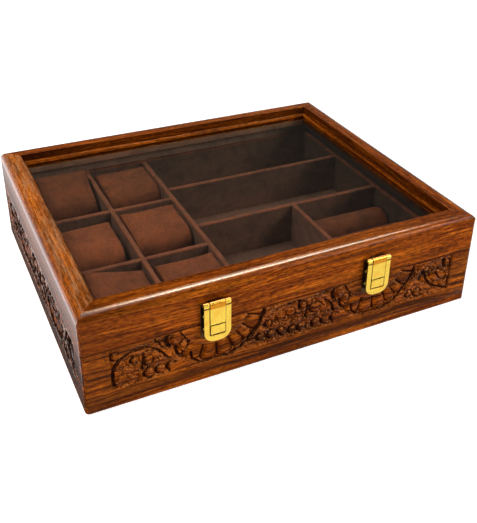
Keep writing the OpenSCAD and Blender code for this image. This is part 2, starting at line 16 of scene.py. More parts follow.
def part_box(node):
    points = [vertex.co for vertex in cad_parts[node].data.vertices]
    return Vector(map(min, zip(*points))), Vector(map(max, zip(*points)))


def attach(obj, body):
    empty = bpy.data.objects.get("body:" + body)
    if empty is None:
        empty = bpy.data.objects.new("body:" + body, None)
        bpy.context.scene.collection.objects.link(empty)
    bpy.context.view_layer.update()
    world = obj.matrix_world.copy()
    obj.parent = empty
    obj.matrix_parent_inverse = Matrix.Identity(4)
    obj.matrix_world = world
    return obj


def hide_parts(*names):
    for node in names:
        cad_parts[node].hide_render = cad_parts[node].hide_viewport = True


bl_info = {
    "name": "Glass-topped organizer box",
    "version": (1, 0, 0),
    "blender": (4, 5, 0),
    "location": "View3D > Sidebar > Organizer",
    "description": "Builds the wood, suede, brass and glass of a carved organizer box",
    "category": "Object",
}

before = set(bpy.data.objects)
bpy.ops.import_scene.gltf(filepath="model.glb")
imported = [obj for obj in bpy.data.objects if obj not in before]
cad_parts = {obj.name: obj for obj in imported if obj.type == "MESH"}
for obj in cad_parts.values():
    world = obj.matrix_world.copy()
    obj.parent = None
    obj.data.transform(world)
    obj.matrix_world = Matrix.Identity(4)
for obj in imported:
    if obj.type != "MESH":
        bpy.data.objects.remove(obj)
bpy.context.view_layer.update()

MM = 0.001
HAIR = 0.01 * MM

# Levels and faces taken from the frame
BOX_LO, BOX_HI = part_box("base_floor")
BOX_W, BOX_D = BOX_HI.x - BOX_LO.x, BOX_HI.y - BOX_LO.y
BOARD_LO, BOARD_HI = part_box("base_front")
BOARD_T = BOARD_HI.y - BOARD_LO.y
SEAM_Z = BOARD_HI.z
LID_LO, LID_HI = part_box("lid_front")
GLASS_LO, GLASS_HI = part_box("lid_glass")
BEAD_LO, BEAD_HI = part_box("bead_front")
TRAY_LO, TRAY_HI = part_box("tray_floor")
TRAY_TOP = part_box("tray_left")[1].z
LATCH_X = sum(c.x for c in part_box("latch_right_flap")) / 2
HINGE_LO, HINGE_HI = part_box("hinge_right_base_leaf")
LEAF_T = 1.2 * MM

# Turn of each side from the front, in degrees
SIDES = {"front": 0, "right": 90, "back": 180, "left": -90}

# Steps of the smooth curves and the angles under which shading runs on
CORNER_STEPS, TOP_STEPS, RIM_STEPS = 6, 8, 5
FLAT_SHADE, CARVED_SHADE, SOFT_SHADE = 40, 55, 60

# Tones painted on the finishes: painted shade in the joints and the deep cuts, painted shade
# and dark reflection on the brass, painted highlights on carved ridges and the left rail's
# top, and the thread of a sewn seam
JOINT_SHADE, DEEP_SHADE = (0.012, 0.004, 0.002), (0.008, 0.003, 0.002)
RIDGE_GLINT_FRONT, RIDGE_GLINT_SIDE = (0.42, 0.14, 0.035), (0.4, 0.25, 0.17)
RAIL_GLINT, THREAD = (0.45, 0.26, 0.12), (0.02, 0.008, 0.005)
FOLD_SHADE, BRASS_SHADE = (0.42, 0.15, 0.008), (0.05, 0.022, 0.006)
WHITE = (1.0, 1.0, 1.0)


# ------------------------------------------------------------------ settings


def tint(name, description, color):
    return bpy.props.FloatVectorProperty(name=name, description=description,
                                         subtype="COLOR", size=3, min=0, max=1,
                                         default=color)


def length(name, description, low, high, value):
    return bpy.props.FloatProperty(name=name, description=description, unit="LENGTH",
                                   min=low * MM, max=high * MM, default=value * MM)


def amount(name, description, high, value):
    return bpy.props.FloatProperty(name=name, description=description, min=0, max=high,
                                   default=value)


def angle(name, description, degrees):
    return bpy.props.FloatProperty(name=name, description=description, subtype="ANGLE",
                                   default=radians(degrees))


class WoodSettings(bpy.types.PropertyGroup):
    body: tint("Heartwood", "Main colour of the varnished wood", (0.146, 0.0255, 0.0012))
    light: tint("Light bands", "Colour of the lighter bands of the grain",
                (0.29, 0.070, 0.0035))
    streak: tint("Dark streaks", "Colour of the dark streaks and pores",
                 (0.030, 0.008, 0.0018))
    carved: tint("Carved ground", "Tint laid into the cuts of the carving",
                 (0.8, 0.74, 0.72))
    edge_round: length("Edge rounding", "Radius that sanding leaves on edges", 0.1, 2, 0.5)
    corner_round: length("Corner radius", "Radius of the upright outer corners", 1, 6, 3)
    top_round: length("Lid rounding", "Radius of the lid's outer top edge", 3, 9, 7)


class CarvingSettings(bpy.types.PropertyGroup):
    cell: length("Cell", "Distance between two points of the carved surface", 0.3, 2, 0.38)
    end: length("Panel end", "Plain wood between the carving and a board's end", 10, 30, 18)
    low: length("Panel foot", "Height of the panel's foot above the table", 10, 20, 14)
    drop: length("Panel top", "Plain wood between the panel and the seam", 0.5, 8, 0.7)


class SuedeSettings(bpy.types.PropertyGroup):
    pillow: tint("Pillows", "Colour of the suede on the pillows and ring rolls",
                 (0.205, 0.056, 0.0185))
    lining: tint("Lining", "Colour of the suede on the walls, floor and dividers",
                 (0.138, 0.071, 0.046))
    # Worn nap, lightened further as a painted highlight
    rim: tint("Rims", "Colour of the worn nap on the dividers' top edges",
              (0.21, 0.067, 0.031))
    lid: tint("Lid lining", "Colour of the suede inside the lid's frame",
              (0.115, 0.062, 0.042))
    fill: amount("Filling", "How tightly the pillows are stuffed", 1, 0.75)
    swell: length("Swelling", "Furthest that the filling pushes the suede out", 0.2, 3, 1)
    weave: length("Cell", "Distance between two points of a pillow's suede", 1, 4, 1.6)
    rim_round: length("Rim rounding", "Radius of the dividers' padded tops", 0.5, 1.9, 1.3)


class BrassSettings(bpy.types.PropertyGroup):
    color: tint("Brass", "Colour of the polished brass", (0.59, 0.40, 0.055))
    tarnish: tint("Tarnish", "Colour that the brass takes where it is handled less",
                  (0.6, 0.26, 0.02))
    plate: length("Plate thickness", "Thickness of the plates nailed to the wood",
                  0.5, 1.2, 0.8)
    sheet: length("Flap thickness", "Thickness of the flaps", 0.6, 1.4, 1)
    edge: length("Edge rounding", "Radius of the polished edges", 0.1, 0.4, 0.28)


class StageSettings(bpy.types.PropertyGroup):
    floor: tint("Floor", "Colour of the plain floor", (0.9, 0.9, 0.9))
    glow: amount("Floor glow", "Light of the floor's own, as of a lit table", 1, 0.4)
    low_card: amount("Low card", "Brightness that the varnish mirrors at the foot", 4, 0.1)
    left_card: amount("Left card", "Brightness that the varnish mirrors at the left", 4, 2.2)
    azimuth: angle("Camera azimuth", "Turn of the camera to the left of the front", 26.68)
    elevation: angle("Camera elevation", "Angle at which the camera looks down", 27.81)
    roll: angle("Camera roll", "Tilt of the camera about its own axis", 1.26)
    lens: amount("Focal length", "Focal length over the long side of the picture", 5, 1.476)
    spot: bpy.props.FloatVectorProperty(
        name="Camera place", description="Where the camera stands", subtype="TRANSLATION",
        unit="LENGTH", size=3, default=(-0.2236, -0.5018, 0.3634))
    shift: bpy.props.FloatVectorProperty(
        name="Camera shift", description="Shift of the view in parts of its long side",
        size=2, default=(-16.5 / 523, -76.5 / 523))


# ------------------------------------------------------------------ modelling helpers


def alone(obj):
    """Leaves object mode's selection with this object only."""
    if bpy.context.object and bpy.context.object.mode != "OBJECT":
        bpy.ops.object.mode_set(mode="OBJECT")
    bpy.ops.object.select_all(action="DESELECT")
    if obj:
        obj.select_set(True)
        bpy.context.view_layer.objects.active = obj
    return obj


@contextmanager
def editing(obj):
    """Edit mode on one object, with its whole mesh selected."""
    alone(obj)
    bpy.ops.object.mode_set(mode="EDIT")
    bpy.ops.mesh.select_all(action="SELECT")
    yield
    bpy.ops.object.mode_set(mode="OBJECT")


def primitive(kind, **sizes):
    """A primitive on its own, with its place, turn and scale worked into its mesh."""
    alone(None)
    getattr(bpy.ops.mesh, f"primitive_{kind}_add")(**sizes)
    bpy.ops.object.transform_apply(location=True, rotation=True, scale=True)
    return bpy.context.object


def named(obj, name):
    obj.name = obj.data.name = name
    return obj


def linked(obj):
    bpy.context.scene.collection.objects.link(obj)
    return obj


def block(name, lo, hi):
    """A plain block between two corners, as the start of a piece."""
    lo, hi = Vector(lo), Vector(hi)
    return named(primitive("cube", size=1, location=(lo + hi) / 2, scale=hi - lo), name)


def waves(point, rate, lot):
    """Slow waves over a level surface, between -1 and 1; rate is how many to the metre."""
    return noise.noise((point.x * rate, point.y * rate, lot))


def fixings(middle, off):
    """The X of four nails or screws, a pair about each middle, and the side in its pair."""
    return [(at + s * off, s) for at in (-middle, middle) for s in (-1, 1)]


def modified(obj, name, kind, **settings):
    """Works a modifier with these settings into a piece's mesh."""
    made = obj.modifiers.new(name, kind)
    for key, value in settings.items():
        setattr(made, key, value)
    alone(obj)
    bpy.ops.object.modifier_apply(modifier=made.name)


def pick(obj, kind, rule):
    """In edit mode, selects the edges or faces that a rule takes."""
    bpy.ops.mesh.select_mode(type=kind)
    bpy.ops.mesh.select_all(action="DESELECT")
    bm = bmesh.from_edit_mesh(obj.data)
    for item in {"EDGE": bm.edges, "FACE": bm.faces}[kind]:
        if rule(item):
            item.select_set(True)
    bm.select_flush_mode()
    bmesh.update_edit_mesh(obj.data)


def round_edges(obj, rule, radius, segments):
    """Rounds the edges that a rule takes."""
    with editing(obj):
        pick(obj, "EDGE", rule)
        bpy.ops.mesh.bevel(offset=radius, segments=segments, affect="EDGES")


def is_upright(edge):
    """True for an edge that stands along Z."""
    run = edge.verts[0].co - edge.verts[1].co
    return abs(run.z) > 0.999 * run.length


def saw(obj, *cuts):
    """Saws away what lies beyond each cut, a point and an outward direction."""
    with editing(obj):
        for point, outward in cuts:
            bpy.ops.mesh.select_all(action="SELECT")
            bpy.ops.mesh.bisect(
                plane_co=point, plane_no=outward, use_fill=True, clear_outer=True)
    return obj


def turned(obj, degrees, axis="Z"):
    """Turns a piece's mesh round one of the frame's axes."""
    obj.data.transform(Matrix.Rotation(radians(degrees), 4, axis))
    return obj


def moved(obj, by):
    obj.data.transform(Matrix.Translation(by))
    return obj


def shaded(obj, degrees):
    """Smooth shading up to an angle, with the large faces kept flat."""
    alone(obj)
    bpy.ops.object.shade_smooth_by_angle(angle=radians(degrees))
    modified(obj, "weigh", "WEIGHTED_NORMAL", keep_sharp=True)
    return obj


def soften(obj, width, segments=2, degrees=35):
    """Takes the sharpness off every edge and smooths the shading."""
    modified(obj, "soften", "BEVEL", width=width, segments=segments, limit_method="ANGLE",
             angle_limit=radians(degrees), harden_normals=False)
    return shaded(obj, FLAT_SHADE)


def bend(x, y, r, start, end, steps):
    """Points of an arc; 0 looks along the first axis, 90 along the second."""
    turns = [radians(start + (end - start) * k / steps) for k in range(steps + 1)]
    return [(x + r * cos(a), y + r * sin(a)) for a in turns]


def extruded(name, outline, lo, hi):
    """An outline of (y, z) points drawn out along X from lo to hi."""
    mesh = bpy.data.meshes.new(name)
    bm = bmesh.new()
    face = bm.faces.new([bm.verts.new((lo, y, z)) for y, z in outline])
    out = bmesh.ops.extrude_face_region(bm, geom=[face])["geom"]
    for v in (g for g in out if isinstance(g, bmesh.types.BMVert)):
        v.co.x = hi
    bmesh.ops.recalc_face_normals(bm, faces=bm.faces)
    bm.to_mesh(mesh)
    bm.free()
    return linked(bpy.data.objects.new(name, mesh))


def joined(name, *parts):
    """Several parts made one piece, under a new name."""
    alone(parts[0])
    for part in parts[1:]:
        part.select_set(True)
    if len(parts) > 1:
        bpy.ops.object.join()
    return named(bpy.context.object, name)


def place(obj, body, slot, material, *nodes):
    """Gives a finished piece its finish and its body, and hides the solids it stands for."""
    obj.data.materials.clear()
    obj.data.materials.append(material)
    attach(obj, body)
    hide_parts(*nodes)
    return obj


# ------------------------------------------------------------------ node helpers


class Nodes:
    """A shader tree, with short ways to add what the finishes are made of."""

    def __init__(self, tree):
        self.tree = tree

    def feed(self, socket, value):
        """Gives a socket a link or a plain value."""
        if isinstance(value, bpy.types.NodeSocket):
            self.tree.links.new(value, socket)
        else:
            socket.default_value = (*value[:3], 1) if socket.type == "RGBA" else value

    def put(self, kind, inputs=None, **settings):
        """Adds a node with its settings and what its sockets are given."""
        made = self.tree.nodes.new("ShaderNode" + kind)
        for key, value in settings.items():
            setattr(made, key, value)
        for key, value in (inputs or {}).items():
            self.feed(made.inputs[key], value)
        return made

    def maths(self, operation, a, b=0.0, clamp=False):
        return self.put("Math", {0: a, 1: b}, operation=operation,
                        use_clamp=clamp).outputs[0]

    def times(self, a, b, clamp=False):
        return self.maths("MULTIPLY", a, b, clamp)

    def plus(self, a, b):
        return self.maths("ADD", a, b)

    def least(self, a, b):
        return self.maths("MINIMUM", a, b)

    def most(self, a, b):
        return self.maths("MAXIMUM", a, b)

    def gap(self, a, b=0.0):
        """Distance between two values."""
        return self.maths("ABSOLUTE", self.maths("SUBTRACT", a, b))

    def vectors(self, operation, a, b):
        return self.put("VectorMath", {0: a, 1: b}, operation=operation).outputs

    def ramp(self, value, low, high, out_low=0.0, out_high=1.0):
        """Eases from one value to another while a measure goes from low to high."""
        return self.put("MapRange", {
            "Value": value, "From Min": low, "From Max": high, "To Min": out_low,
            "To Max": out_high}, interpolation_type="SMOOTHSTEP").outputs[0]

    def blend(self, share, a, b, how="MIX"):
        """Colour b over colour a by a share."""
        return self.put("Mix", data_type="RGBA", blend_type=how,
                        inputs={0: share, 6: a, 7: b}).outputs[2]

    def dyed(self, a, b):
        """Colour a times colour b."""
        return self.blend(1.0, a, b, "MULTIPLY")

    def speckle(self, vector, scale, detail=2.0, rough=0.5, distortion=0.0, out=0):
        return self.put("TexNoise", {
            "Vector": vector, "Scale": scale, "Detail": detail, "Roughness": rough,
            "Distortion": distortion}).outputs[out]

    def stretched(self, vector, scale, shift=(0, 0, 0), rotation=(0, 0, 0)):
        return self.put("Mapping", {"Vector": vector, "Scale": scale, "Location": shift,
                                    "Rotation": rotation}).outputs[0]

    def here(self, which="Object"):
        """The piece's own coordinates, or its own normal."""
        return self.put("TexCoord").outputs[which]

    def part(self, axis, vector=None):
        """One part of a vector, of the piece's own coordinates if none is given."""
        source = self.here() if vector is None else vector
        return self.put("SeparateXYZ", {0: source}).outputs[axis]

    def attribute(self, name):
        return self.put("Attribute", attribute_name=name).outputs["Fac"]

    def facing(self):
        return self.put("LayerWeight", {"Blend": 0.5}).outputs["Facing"]

    def bump(self, strength, distance, height):
        return self.put("Bump", {
            "Strength": strength, "Distance": distance, "Height": height}).outputs[0]

    def group(self, which, inputs):
        """Adds the node group that a function builds, which is built only once."""
        made = self.tree.nodes.new("ShaderNodeGroup")
        made.node_tree = bpy.data.node_groups.get(which.__name__) or which()
        for key, value in inputs.items():
            self.feed(made.inputs[key], value)
        return made.outputs

    def shade(self, inputs):
        """Gives the Principled shader's sockets their links and values."""
        shader = self.tree.nodes["Principled BSDF"]
        for key, value in inputs.items():
            self.feed(shader.inputs[key], value)
        return shader.outputs[0]

    def surface(self, share, a, b):
        """Two shaders mixed as the surface of the material."""
        mixed = self.put("MixShader", {0: share, 1: a, 2: b}).outputs[0]
        self.feed(self.tree.nodes["Material Output"].inputs["Surface"], mixed)


FLOAT, COLOR, VECTOR = "NodeSocketFloat", "NodeSocketColor", "NodeSocketVector"


def effect(name, **inputs):
    """A new node group with inputs and the colour, roughness and height it gives out."""
    tree = bpy.data.node_groups.new(name, "ShaderNodeTree")
    for label, kind in inputs.items():
        socket = tree.interface.new_socket(
            label, in_out="INPUT", socket_type=kind if isinstance(kind, str) else FLOAT)
        if not isinstance(kind, str):
            socket.default_value = kind
    for label, kind in (("Color", COLOR), ("Roughness", FLOAT), ("Height", FLOAT)):
        tree.interface.new_socket(label, in_out="OUTPUT", socket_type=kind)
    given = tree.nodes.new("NodeGroupInput").outputs
    result = tree.nodes.new("NodeGroupOutput").inputs

    def give(color, roughness, height):
        for label, value in (("Color", color), ("Roughness", roughness), ("Height", height)):
            tree.links.new(value, result[label])
        return tree
    return Nodes(tree), given, give


def material(name):
    """A new material and its tree."""
    made = bpy.data.materials.new(name)
    made.use_nodes = True
    return made, Nodes(made.node_tree)


# ------------------------------------------------------------------ finishes


def wood_grain():
    """Streaky grain along X: its colour, its roughness and the relief of its pores."""
    n, given, give = effect("wood_grain", Vector=VECTOR, Body=COLOR, Light=COLOR,
                            Streak=COLOR, Streaks=1.0)
    start, light, streak = given["Vector"], given["Light"], given["Streak"]
    # The lines of the grain wander slowly
    drift = n.speckle(n.stretched(start, (0.5, 1, 1)), 11, out=1)
    drift = n.vectors("SUBTRACT", drift, (0.5, 0.5, 0.5))[0]
    drift = n.vectors("MULTIPLY", drift, (0.0, 0.018, 0.018))[0]
    p = n.vectors("ADD", start, drift)[0]

    def drawn(run, shift, *noise_settings):
        return n.speckle(n.stretched(p, (run, 1, 1), shift), *noise_settings)

    wide = drawn(0.1, (0, 0, 0), 75, 3, 0.55, 0.2)
    bands = drawn(0.028, (3, 1, 0), 260, 4, 0.6)
    lines = drawn(0.03, (0, 5, 2), 600, 5, 0.7)
    pores = drawn(0.05, (7, 0, 4), 1700, 2, 0.6)
    patch = drawn(0.3, (1, 9, 0), 24, 2, 0.5)
    flecks = drawn(0.25, (2, 2, 2), 900, 2, 0.6)
    color = n.blend(n.ramp(patch, 0.4, 0.7, 0.0, 0.35), given["Body"], light)
    color = n.blend(n.ramp(bands, 0.5, 0.64, 0.0, 0.85), color, light)
    color = n.blend(n.ramp(lines, 0.52, 0.66, 0.0, 0.8), color,
                    n.dyed(light, (1.35, 1.35, 1.6)))
    dark = n.most(n.ramp(wide, 0.56, 0.3, 0.0, 0.75), n.ramp(bands, 0.5, 0.32, 0.0, 0.85))
    dark = n.most(dark, n.ramp(lines, 0.5, 0.34, 0.0, 0.9))
    color = n.blend(n.times(dark, given["Streaks"], clamp=True), color, streak)
    holes = n.ramp(pores, 0.42, 0.29, 0.0, 0.85)
    color = n.blend(holes, color, streak)
    tone = n.ramp(flecks, 0.32, 0.68, 0.62, 1.4)
    color = n.dyed(color, n.put("CombineXYZ", {0: tone, 1: tone, 2: tone}).outputs[0])
    return give(color, n.ramp(lines, 0.3, 0.7, 0.42, 0.3),
                n.maths("SUBTRACT", n.times(lines, 0.4), holes))


def wood(side, lot=0, carved=False, streaks=1.0, shade=1.0,
         joints=(SEAM_Z + 0.2 * MM, BOX_HI.z)):
    """Varnished wood of one board, its grain along the side it lies on."""
    name = f"varnished_wood_{side}_{lot}" + ("_carved" if carved else "")
    name += f"_{streaks:.1f}_{shade:.1f}"
    if name in bpy.data.materials:
        return bpy.data.materials[name]
    look = bpy.context.scene.box_wood
    made, n = material(name)
    at_front, turn = side == "front", -radians(SIDES[side])
    along = n.stretched(n.here(), (1, 1, 1), (0.37 * lot, 0.21 * lot, 0.11 * lot),
                        (0, 0, turn))
    grain = n.group(wood_grain, {"Vector": along, "Body": look.body, "Light": look.light,
                                 "Streak": look.streak, "Streaks": streaks})
    color = grain["Color"]
    # A share of the colour; on the rails' inner faces above the glass it is painted shade
    if shade != 1:
        color = n.dyed(color, (shade, shade, shade))
    normal = n.here("Normal")
    level, up = n.part("Z"), n.part("Z", normal)
    faced = n.vectors("DOT_PRODUCT", normal, (-sin(turn), -cos(turn), 0))["Value"]
    # Painted shade along the joints, but not on faces that lie level
    for joint in joints:
        joint_shade = n.times(n.ramp(n.gap(level, joint), 1.0 * MM, 0.35 * MM, 0.0, 0.75),
                       n.ramp(n.gap(up), 0.9, 0.6))
        color = n.blend(joint_shade, color, JOINT_SHADE)
    # Painted highlight: pale flecks on the top of the left rail; painted shade: a front that
    # darkens to its left end
    if side == "left" and not carved:
        flecks = n.speckle(n.stretched(along, (0.1, 1, 1)), 500, 4, 0.7)
        flecks = n.times(n.ramp(up, 0.7, 0.95), n.ramp(flecks, 0.42, 0.66, 0.02, 0.32))
        color = n.blend(flecks, color, RAIL_GLINT)
    if at_front:
        left_end_shade = n.ramp(n.part("X"), BOX_LO.x, BOX_LO.x + 95 * MM, 0.27, 0.0)
        color = n.blend(left_end_shade, color, look.streak)
    # Stain soaks into the cuts, darker on the sides as painted shade; what is steep or deep
    # and turned away gets painted shade, near black
    if carved:
        depth = n.attribute("cut")
        uneven = n.ramp(n.speckle(along, 420, 3, 0.6), 0.35, 0.65, 0.55, 1.0)
        color = n.blend(n.times(n.ramp(depth, 0.12, 0.7), uneven), color, n.dyed(
            color, Vector(look.carved) * (1.0 if at_front else 0.45)))
        within = n.ramp(depth, 0.0005, 0.004)
        turned_away = (0.72, 0.3) if at_front else (0.96, 0.75)
        steep = n.times(n.ramp(faced, *turned_away, 0.0, 0.95), within)
        # Painted highlight: ridges that look up, and on the sides the proud ridges, are lit
        # pale in small spots
        spots = n.ramp(n.speckle(along, 700, 3, 0.7), 0.42, 0.62)
        ridge_glint = n.times(n.ramp(up, 0.15, 0.55, 0.0, 0.8), within) if at_front else n.least(
            n.ramp(depth, 0.005, 0.03, 0.0, 0.75), n.ramp(depth, 0.08, 0.2, 0.75, 0.0))
        color = n.blend(n.times(ridge_glint, spots), color,
                        RIDGE_GLINT_FRONT if at_front else RIDGE_GLINT_SIDE)
        color = n.blend(n.most(steep, n.ramp(depth, 0.6, 0.98, 0.0, 0.92)), color, DEEP_SHADE)
        # The board's foot is in the dark
        color = n.blend(n.ramp(level, 17 * MM, 10 * MM, 0.0, 0.5), color, look.streak)
    gloss = n.ramp(n.facing(), 0.38, 0.75, 0.07, 1.0)
    # The rounded outer edge is polished, the inner edge is dull
    bent = n.times(n.ramp(up, 0.62, 0.82), n.ramp(up, 0.98, 0.85))
    bent = n.times(bent, n.ramp(level, LID_HI.z - 12 * MM, LID_HI.z - 8 * MM, 0.0,
                                0.2 if side == "left" else 0.6))
    gloss = n.times(n.most(gloss, bent), n.ramp(faced, -0.35, -0.1, 0.06, 1.0))
    if carved:
        proud = n.ramp(depth, 0.12, 0.6, 1.0, 0.03)
        if at_front:
            proud = n.least(proud, n.ramp(steep, 0.1, 0.7, 1.0, 0.05))
        gloss = n.times(gloss, proud)
    n.shade({"Base Color": color, "Roughness": grain["Roughness"],
             "Normal": n.bump(0.35, 0.25 * MM, grain["Height"]), "Specular IOR Level": 0.0,
             "Coat Weight": gloss, "Coat Roughness": 0.19, "Coat IOR": 1.5})
    return made


def clear_glass():
    """A clear pane that lets the lamps through."""
    made, n = material("clear_glass")
    smudge = n.ramp(n.speckle(n.here(), 18, 3), 0.35, 0.7)
    solid = n.shade({"Base Color": n.blend(smudge, (0.83, 0.87, 0.86), (0.87, 0.9, 0.89)),
                     "Roughness": 0.0, "Transmission Weight": 1.0, "IOR": 1.45})
    # A pane this thin bends the view too little to see: each face mirrors or lets through
    front = n.maths("SUBTRACT", 1.0, n.put("NewGeometry").outputs["Backfacing"])
    mirror = n.times(n.put("Fresnel", {"IOR": 1.5}).outputs[0], n.times(front, 1.5),
                     clamp=True)
    clear = n.put("BsdfTransparent", {"Color": n.blend(
        n.ramp(n.facing(), 0.47, 0.64), (0.88, 0.88, 0.87), (0.72, 0.77, 0.74))})
    shine = n.put("BsdfGlossy", {"Roughness": 0.0})
    pane = n.put("MixShader", {0: mirror, 1: clear.outputs[0], 2: shine.outputs[0]})
    n.surface(n.put("LightPath").outputs["Is Transmission Ray"], pane.outputs[0], solid)
    return made


def suede_nap():
    """Brushed nap: its colour, its roughness and its relief."""
    n, given, give = effect("suede_nap", Vector=VECTOR, Color=COLOR, Mottle=1.0, Lying=0.0)
    start, cover_tone, mottle = given["Vector"], given["Color"], given["Mottle"]
    cloud = n.speckle(start, 75, 4, 0.6, 0.4)
    brushed = n.speckle(n.stretched(start, (1, 0.35, 0.5)), 700, 3, 0.65, 0.5)
    nap = n.speckle(start, 1600, 3, 0.7)
    light = n.times(n.ramp(cloud, 0.42, 0.66), mottle)
    color = n.blend(n.times(light, 0.5), cover_tone, n.dyed(cover_tone, (1.6, 1.35, 1.25)))
    dark = n.plus(n.ramp(cloud, 0.5, 0.3, 0.0, 0.5), n.ramp(brushed, 0.52, 0.34, 0.0, 0.45))
    color = n.blend(n.times(dark, mottle, clamp=True), color, n.dyed(cover_tone, (0.5, 0.5, 0.55)))
    color = n.blend(n.ramp(nap, 0.52, 0.7, 0.0, 0.45), color,
                    n.dyed(color, (1.8, 1.55, 1.45)))
    # Painted shade: the suede on a side is darker than on the top
    lying = n.times(n.ramp(n.part("Z", n.here("Normal")), 0.85, 0.1), given["Lying"])
    color = n.blend(lying, color, n.dyed(color, (0.5, 0.56, 0.62)))
    return give(color, n.ramp(brushed, 0.3, 0.7, 0.95, 0.8),
                n.plus(n.times(brushed, 0.6), n.times(nap, 0.5)))


def suede(name, color, rim=None, seam=0.0):
    """Suede of one piece; a rim gives brushed, worn nap lightened as a painted highlight, a
    seam gives a sewn line at both ends.
    """
    if name in bpy.data.materials:
        return bpy.data.materials[name]
    made, n = material(name)
    if rim:
        # Worn nap on the rim, lightened further as a painted highlight
        worn = n.ramp(n.part("Z"), TRAY_TOP - 2.2 * MM, TRAY_TOP - 0.2 * MM)
        fuzz = n.ramp(n.speckle(n.here(), 160, 3), 0.3, 0.6)
        color = n.blend(n.times(worn, n.plus(0.55, fuzz), clamp=True), color, rim)
    nap = n.group(suede_nap, {"Vector": n.here(), "Color": color, "Mottle": 0.8,
                              "Lying": 1.0 if seam else 0.0})
    tone, height = nap["Color"], nap["Height"]
    if seam:
        line = n.ramp(n.gap(n.attribute("across"), seam), 0.0, 0.5 * MM, 1.0, 0.0)
        tone = n.blend(n.times(line, 0.55), tone, THREAD)
        height = n.maths("SUBTRACT", height, n.times(line, 2.0))
    n.shade({"Base Color": tone, "Roughness": nap["Roughness"],
             "Normal": n.bump(0.5, 0.4 * MM, height), "Specular IOR Level": 0.05,
             "Sheen Weight": 0.05, "Sheen Roughness": 0.45, "Sheen Tint": (0.8, 0.42, 0.3)})
    return made


def brass_finish():
    """Polished brass: its colour, its roughness and its fine scratches."""
    n, given, give = effect("brass_finish", Vector=VECTOR, Brass=COLOR, Tarnish=COLOR)
    start, tarnish = given["Vector"], given["Tarnish"]
    smudge = n.speckle(start, 130, 3, 0.6, 0.5)
    spots = n.speckle(start, 900, 2, 0.6)
    lines = n.speckle(n.stretched(start, (1, 1, 0.08)), 1800, 2, 0.6)
    color = n.blend(n.ramp(smudge, 0.5, 0.75, 0.0, 0.6), given["Brass"], tarnish)
    color = n.blend(n.ramp(spots, 0.66, 0.8, 0.0, 0.7), color, tarnish)
    return give(color, n.plus(n.ramp(smudge, 0.35, 0.7, 0.24, 0.36),
                              n.ramp(lines, 0.4, 0.7, 0.0, 0.06)),
                n.plus(n.times(lines, 0.3), n.times(spots, -0.3)))


def brass(name, dull=0.0, shaded_from=1.0, fold=1.0, slit=1.0, metallic=1.0):
    """Brass with a painted dark reflection on its sawn edges, and painted shade behind a
    level of Y, over a fold and in a slit.
    """
    if name in bpy.data.materials:
        return bpy.data.materials[name]
    look = bpy.context.scene.box_brass
    made, n = material(name)
    finish = n.group(brass_finish, {"Vector": n.here(), "Brass": look.color,
                                    "Tarnish": look.tarnish})
    tone = n.blend(dull, finish["Color"], look.tarnish)
    level = n.part("Z")
    # Painted dark reflection on the sawn edges, painted shade behind the flap, in the slit
    # and as a darker band over the fold
    sawn = n.ramp(n.gap(n.part("X", n.here("Normal"))), 0.45, 0.9, 0.0, 0.9)
    behind = n.ramp(n.part("Y"), shaded_from - 0.1 * MM, shaded_from + 0.1 * MM)
    sawn = n.most(sawn, behind)
    fold_shade = n.times(n.ramp(level, fold, fold + 0.5 * MM, 0.0, 0.93),
                     n.ramp(level, fold + 4.6 * MM, fold + 4.1 * MM))
    tone = n.blend(fold_shade, tone, FOLD_SHADE)
    sawn = n.most(sawn, n.ramp(n.gap(level, slit), 0.75 * MM, 0.45 * MM, 0.0, 0.9))
    n.shade({"Base Color": n.blend(sawn, tone, BRASS_SHADE), "Roughness": finish["Roughness"],
             "Normal": n.bump(0.25, 0.1 * MM, finish["Height"]), "Metallic": metallic})
    return made


def plain_floor():
    """The pale floor, lit a little by itself, with a card that only the varnish sees."""
    look = bpy.context.scene.box_stage
    made, n = material("plain_floor")
    cloud = n.ramp(n.speckle(n.here(), 2, 2), 0.3, 0.7, 0.0, 0.03)
    paths = n.put("LightPath").outputs
    far = n.ramp(n.vectors("LENGTH", n.here(), (0, 0, 0))["Value"], 0.35, 0.9)
    lit = n.shade({"Base Color": n.blend(cloud, look.floor, (0.8, 0.8, 0.8)),
                   "Roughness": 0.9, "Specular IOR Level": 0.0, "Emission Color": WHITE,
                   "Emission Strength": n.plus(n.times(far, paths["Is Camera Ray"]),
                                               look.glow)})
    # At the left the varnish mirrors a white card that starts a little way from the foot
    across = n.part("X")
    card = n.put("Emission", {"Color": WHITE, "Strength": n.ramp(
        across, -0.158, -0.2, look.low_card, look.left_card)})
    n.surface(n.times(paths["Is Glossy Ray"], n.maths("LESS_THAN", across, -0.1525)),
              lit, card.outputs[0])
    return made


# ------------------------------------------------------------------ wood


def span(side):
    """Length of a side and the depth of the box behind it."""
    return (BOX_W, BOX_D) if side in ("front", "back") else (BOX_D, BOX_W)


def mitre_cuts(width, depth):
    """Cuts of the two mitres of a side at the front."""
    for s in (-1, 1):
        yield Vector((s * width / 2, -depth / 2, 0)), Vector((s, 1, 0)).normalized()


def let_in_leaves(obj, foot):
    """Cuts the pockets of the hinge leaves, from this level up, in a board at the front."""
    for way in (-1, 1):
        near, far = sorted((way * HINGE_LO.x, way * HINGE_HI.x))
        pocket = block("pocket", (near, -HINGE_HI.y, foot),
                       (far, -HINGE_LO.y, foot + LEAF_T))
        modified(obj, "pocket", "BOOLEAN", operation="DIFFERENCE", solver="EXACT",
                 object=pocket)
        bpy.data.objects.remove(pocket)


class OrganizerBottom(bpy.types.Operator):
    """Bottom board, whose edge shows as a strip at the foot"""

    bl_idname = "organizer.bottom"
    bl_label = "Bottom board"

    def execute(self, context):
        look = context.scene.box_wood
        obj = block("bottom_board", BOX_LO, BOX_HI)
        round_edges(obj, is_upright, look.corner_round, CORNER_STEPS)
        soften(obj, look.edge_round * 1.4, 3)
        place(obj, "box", "wood", wood("front", 5), "base_floor")
        return {"FINISHED"}


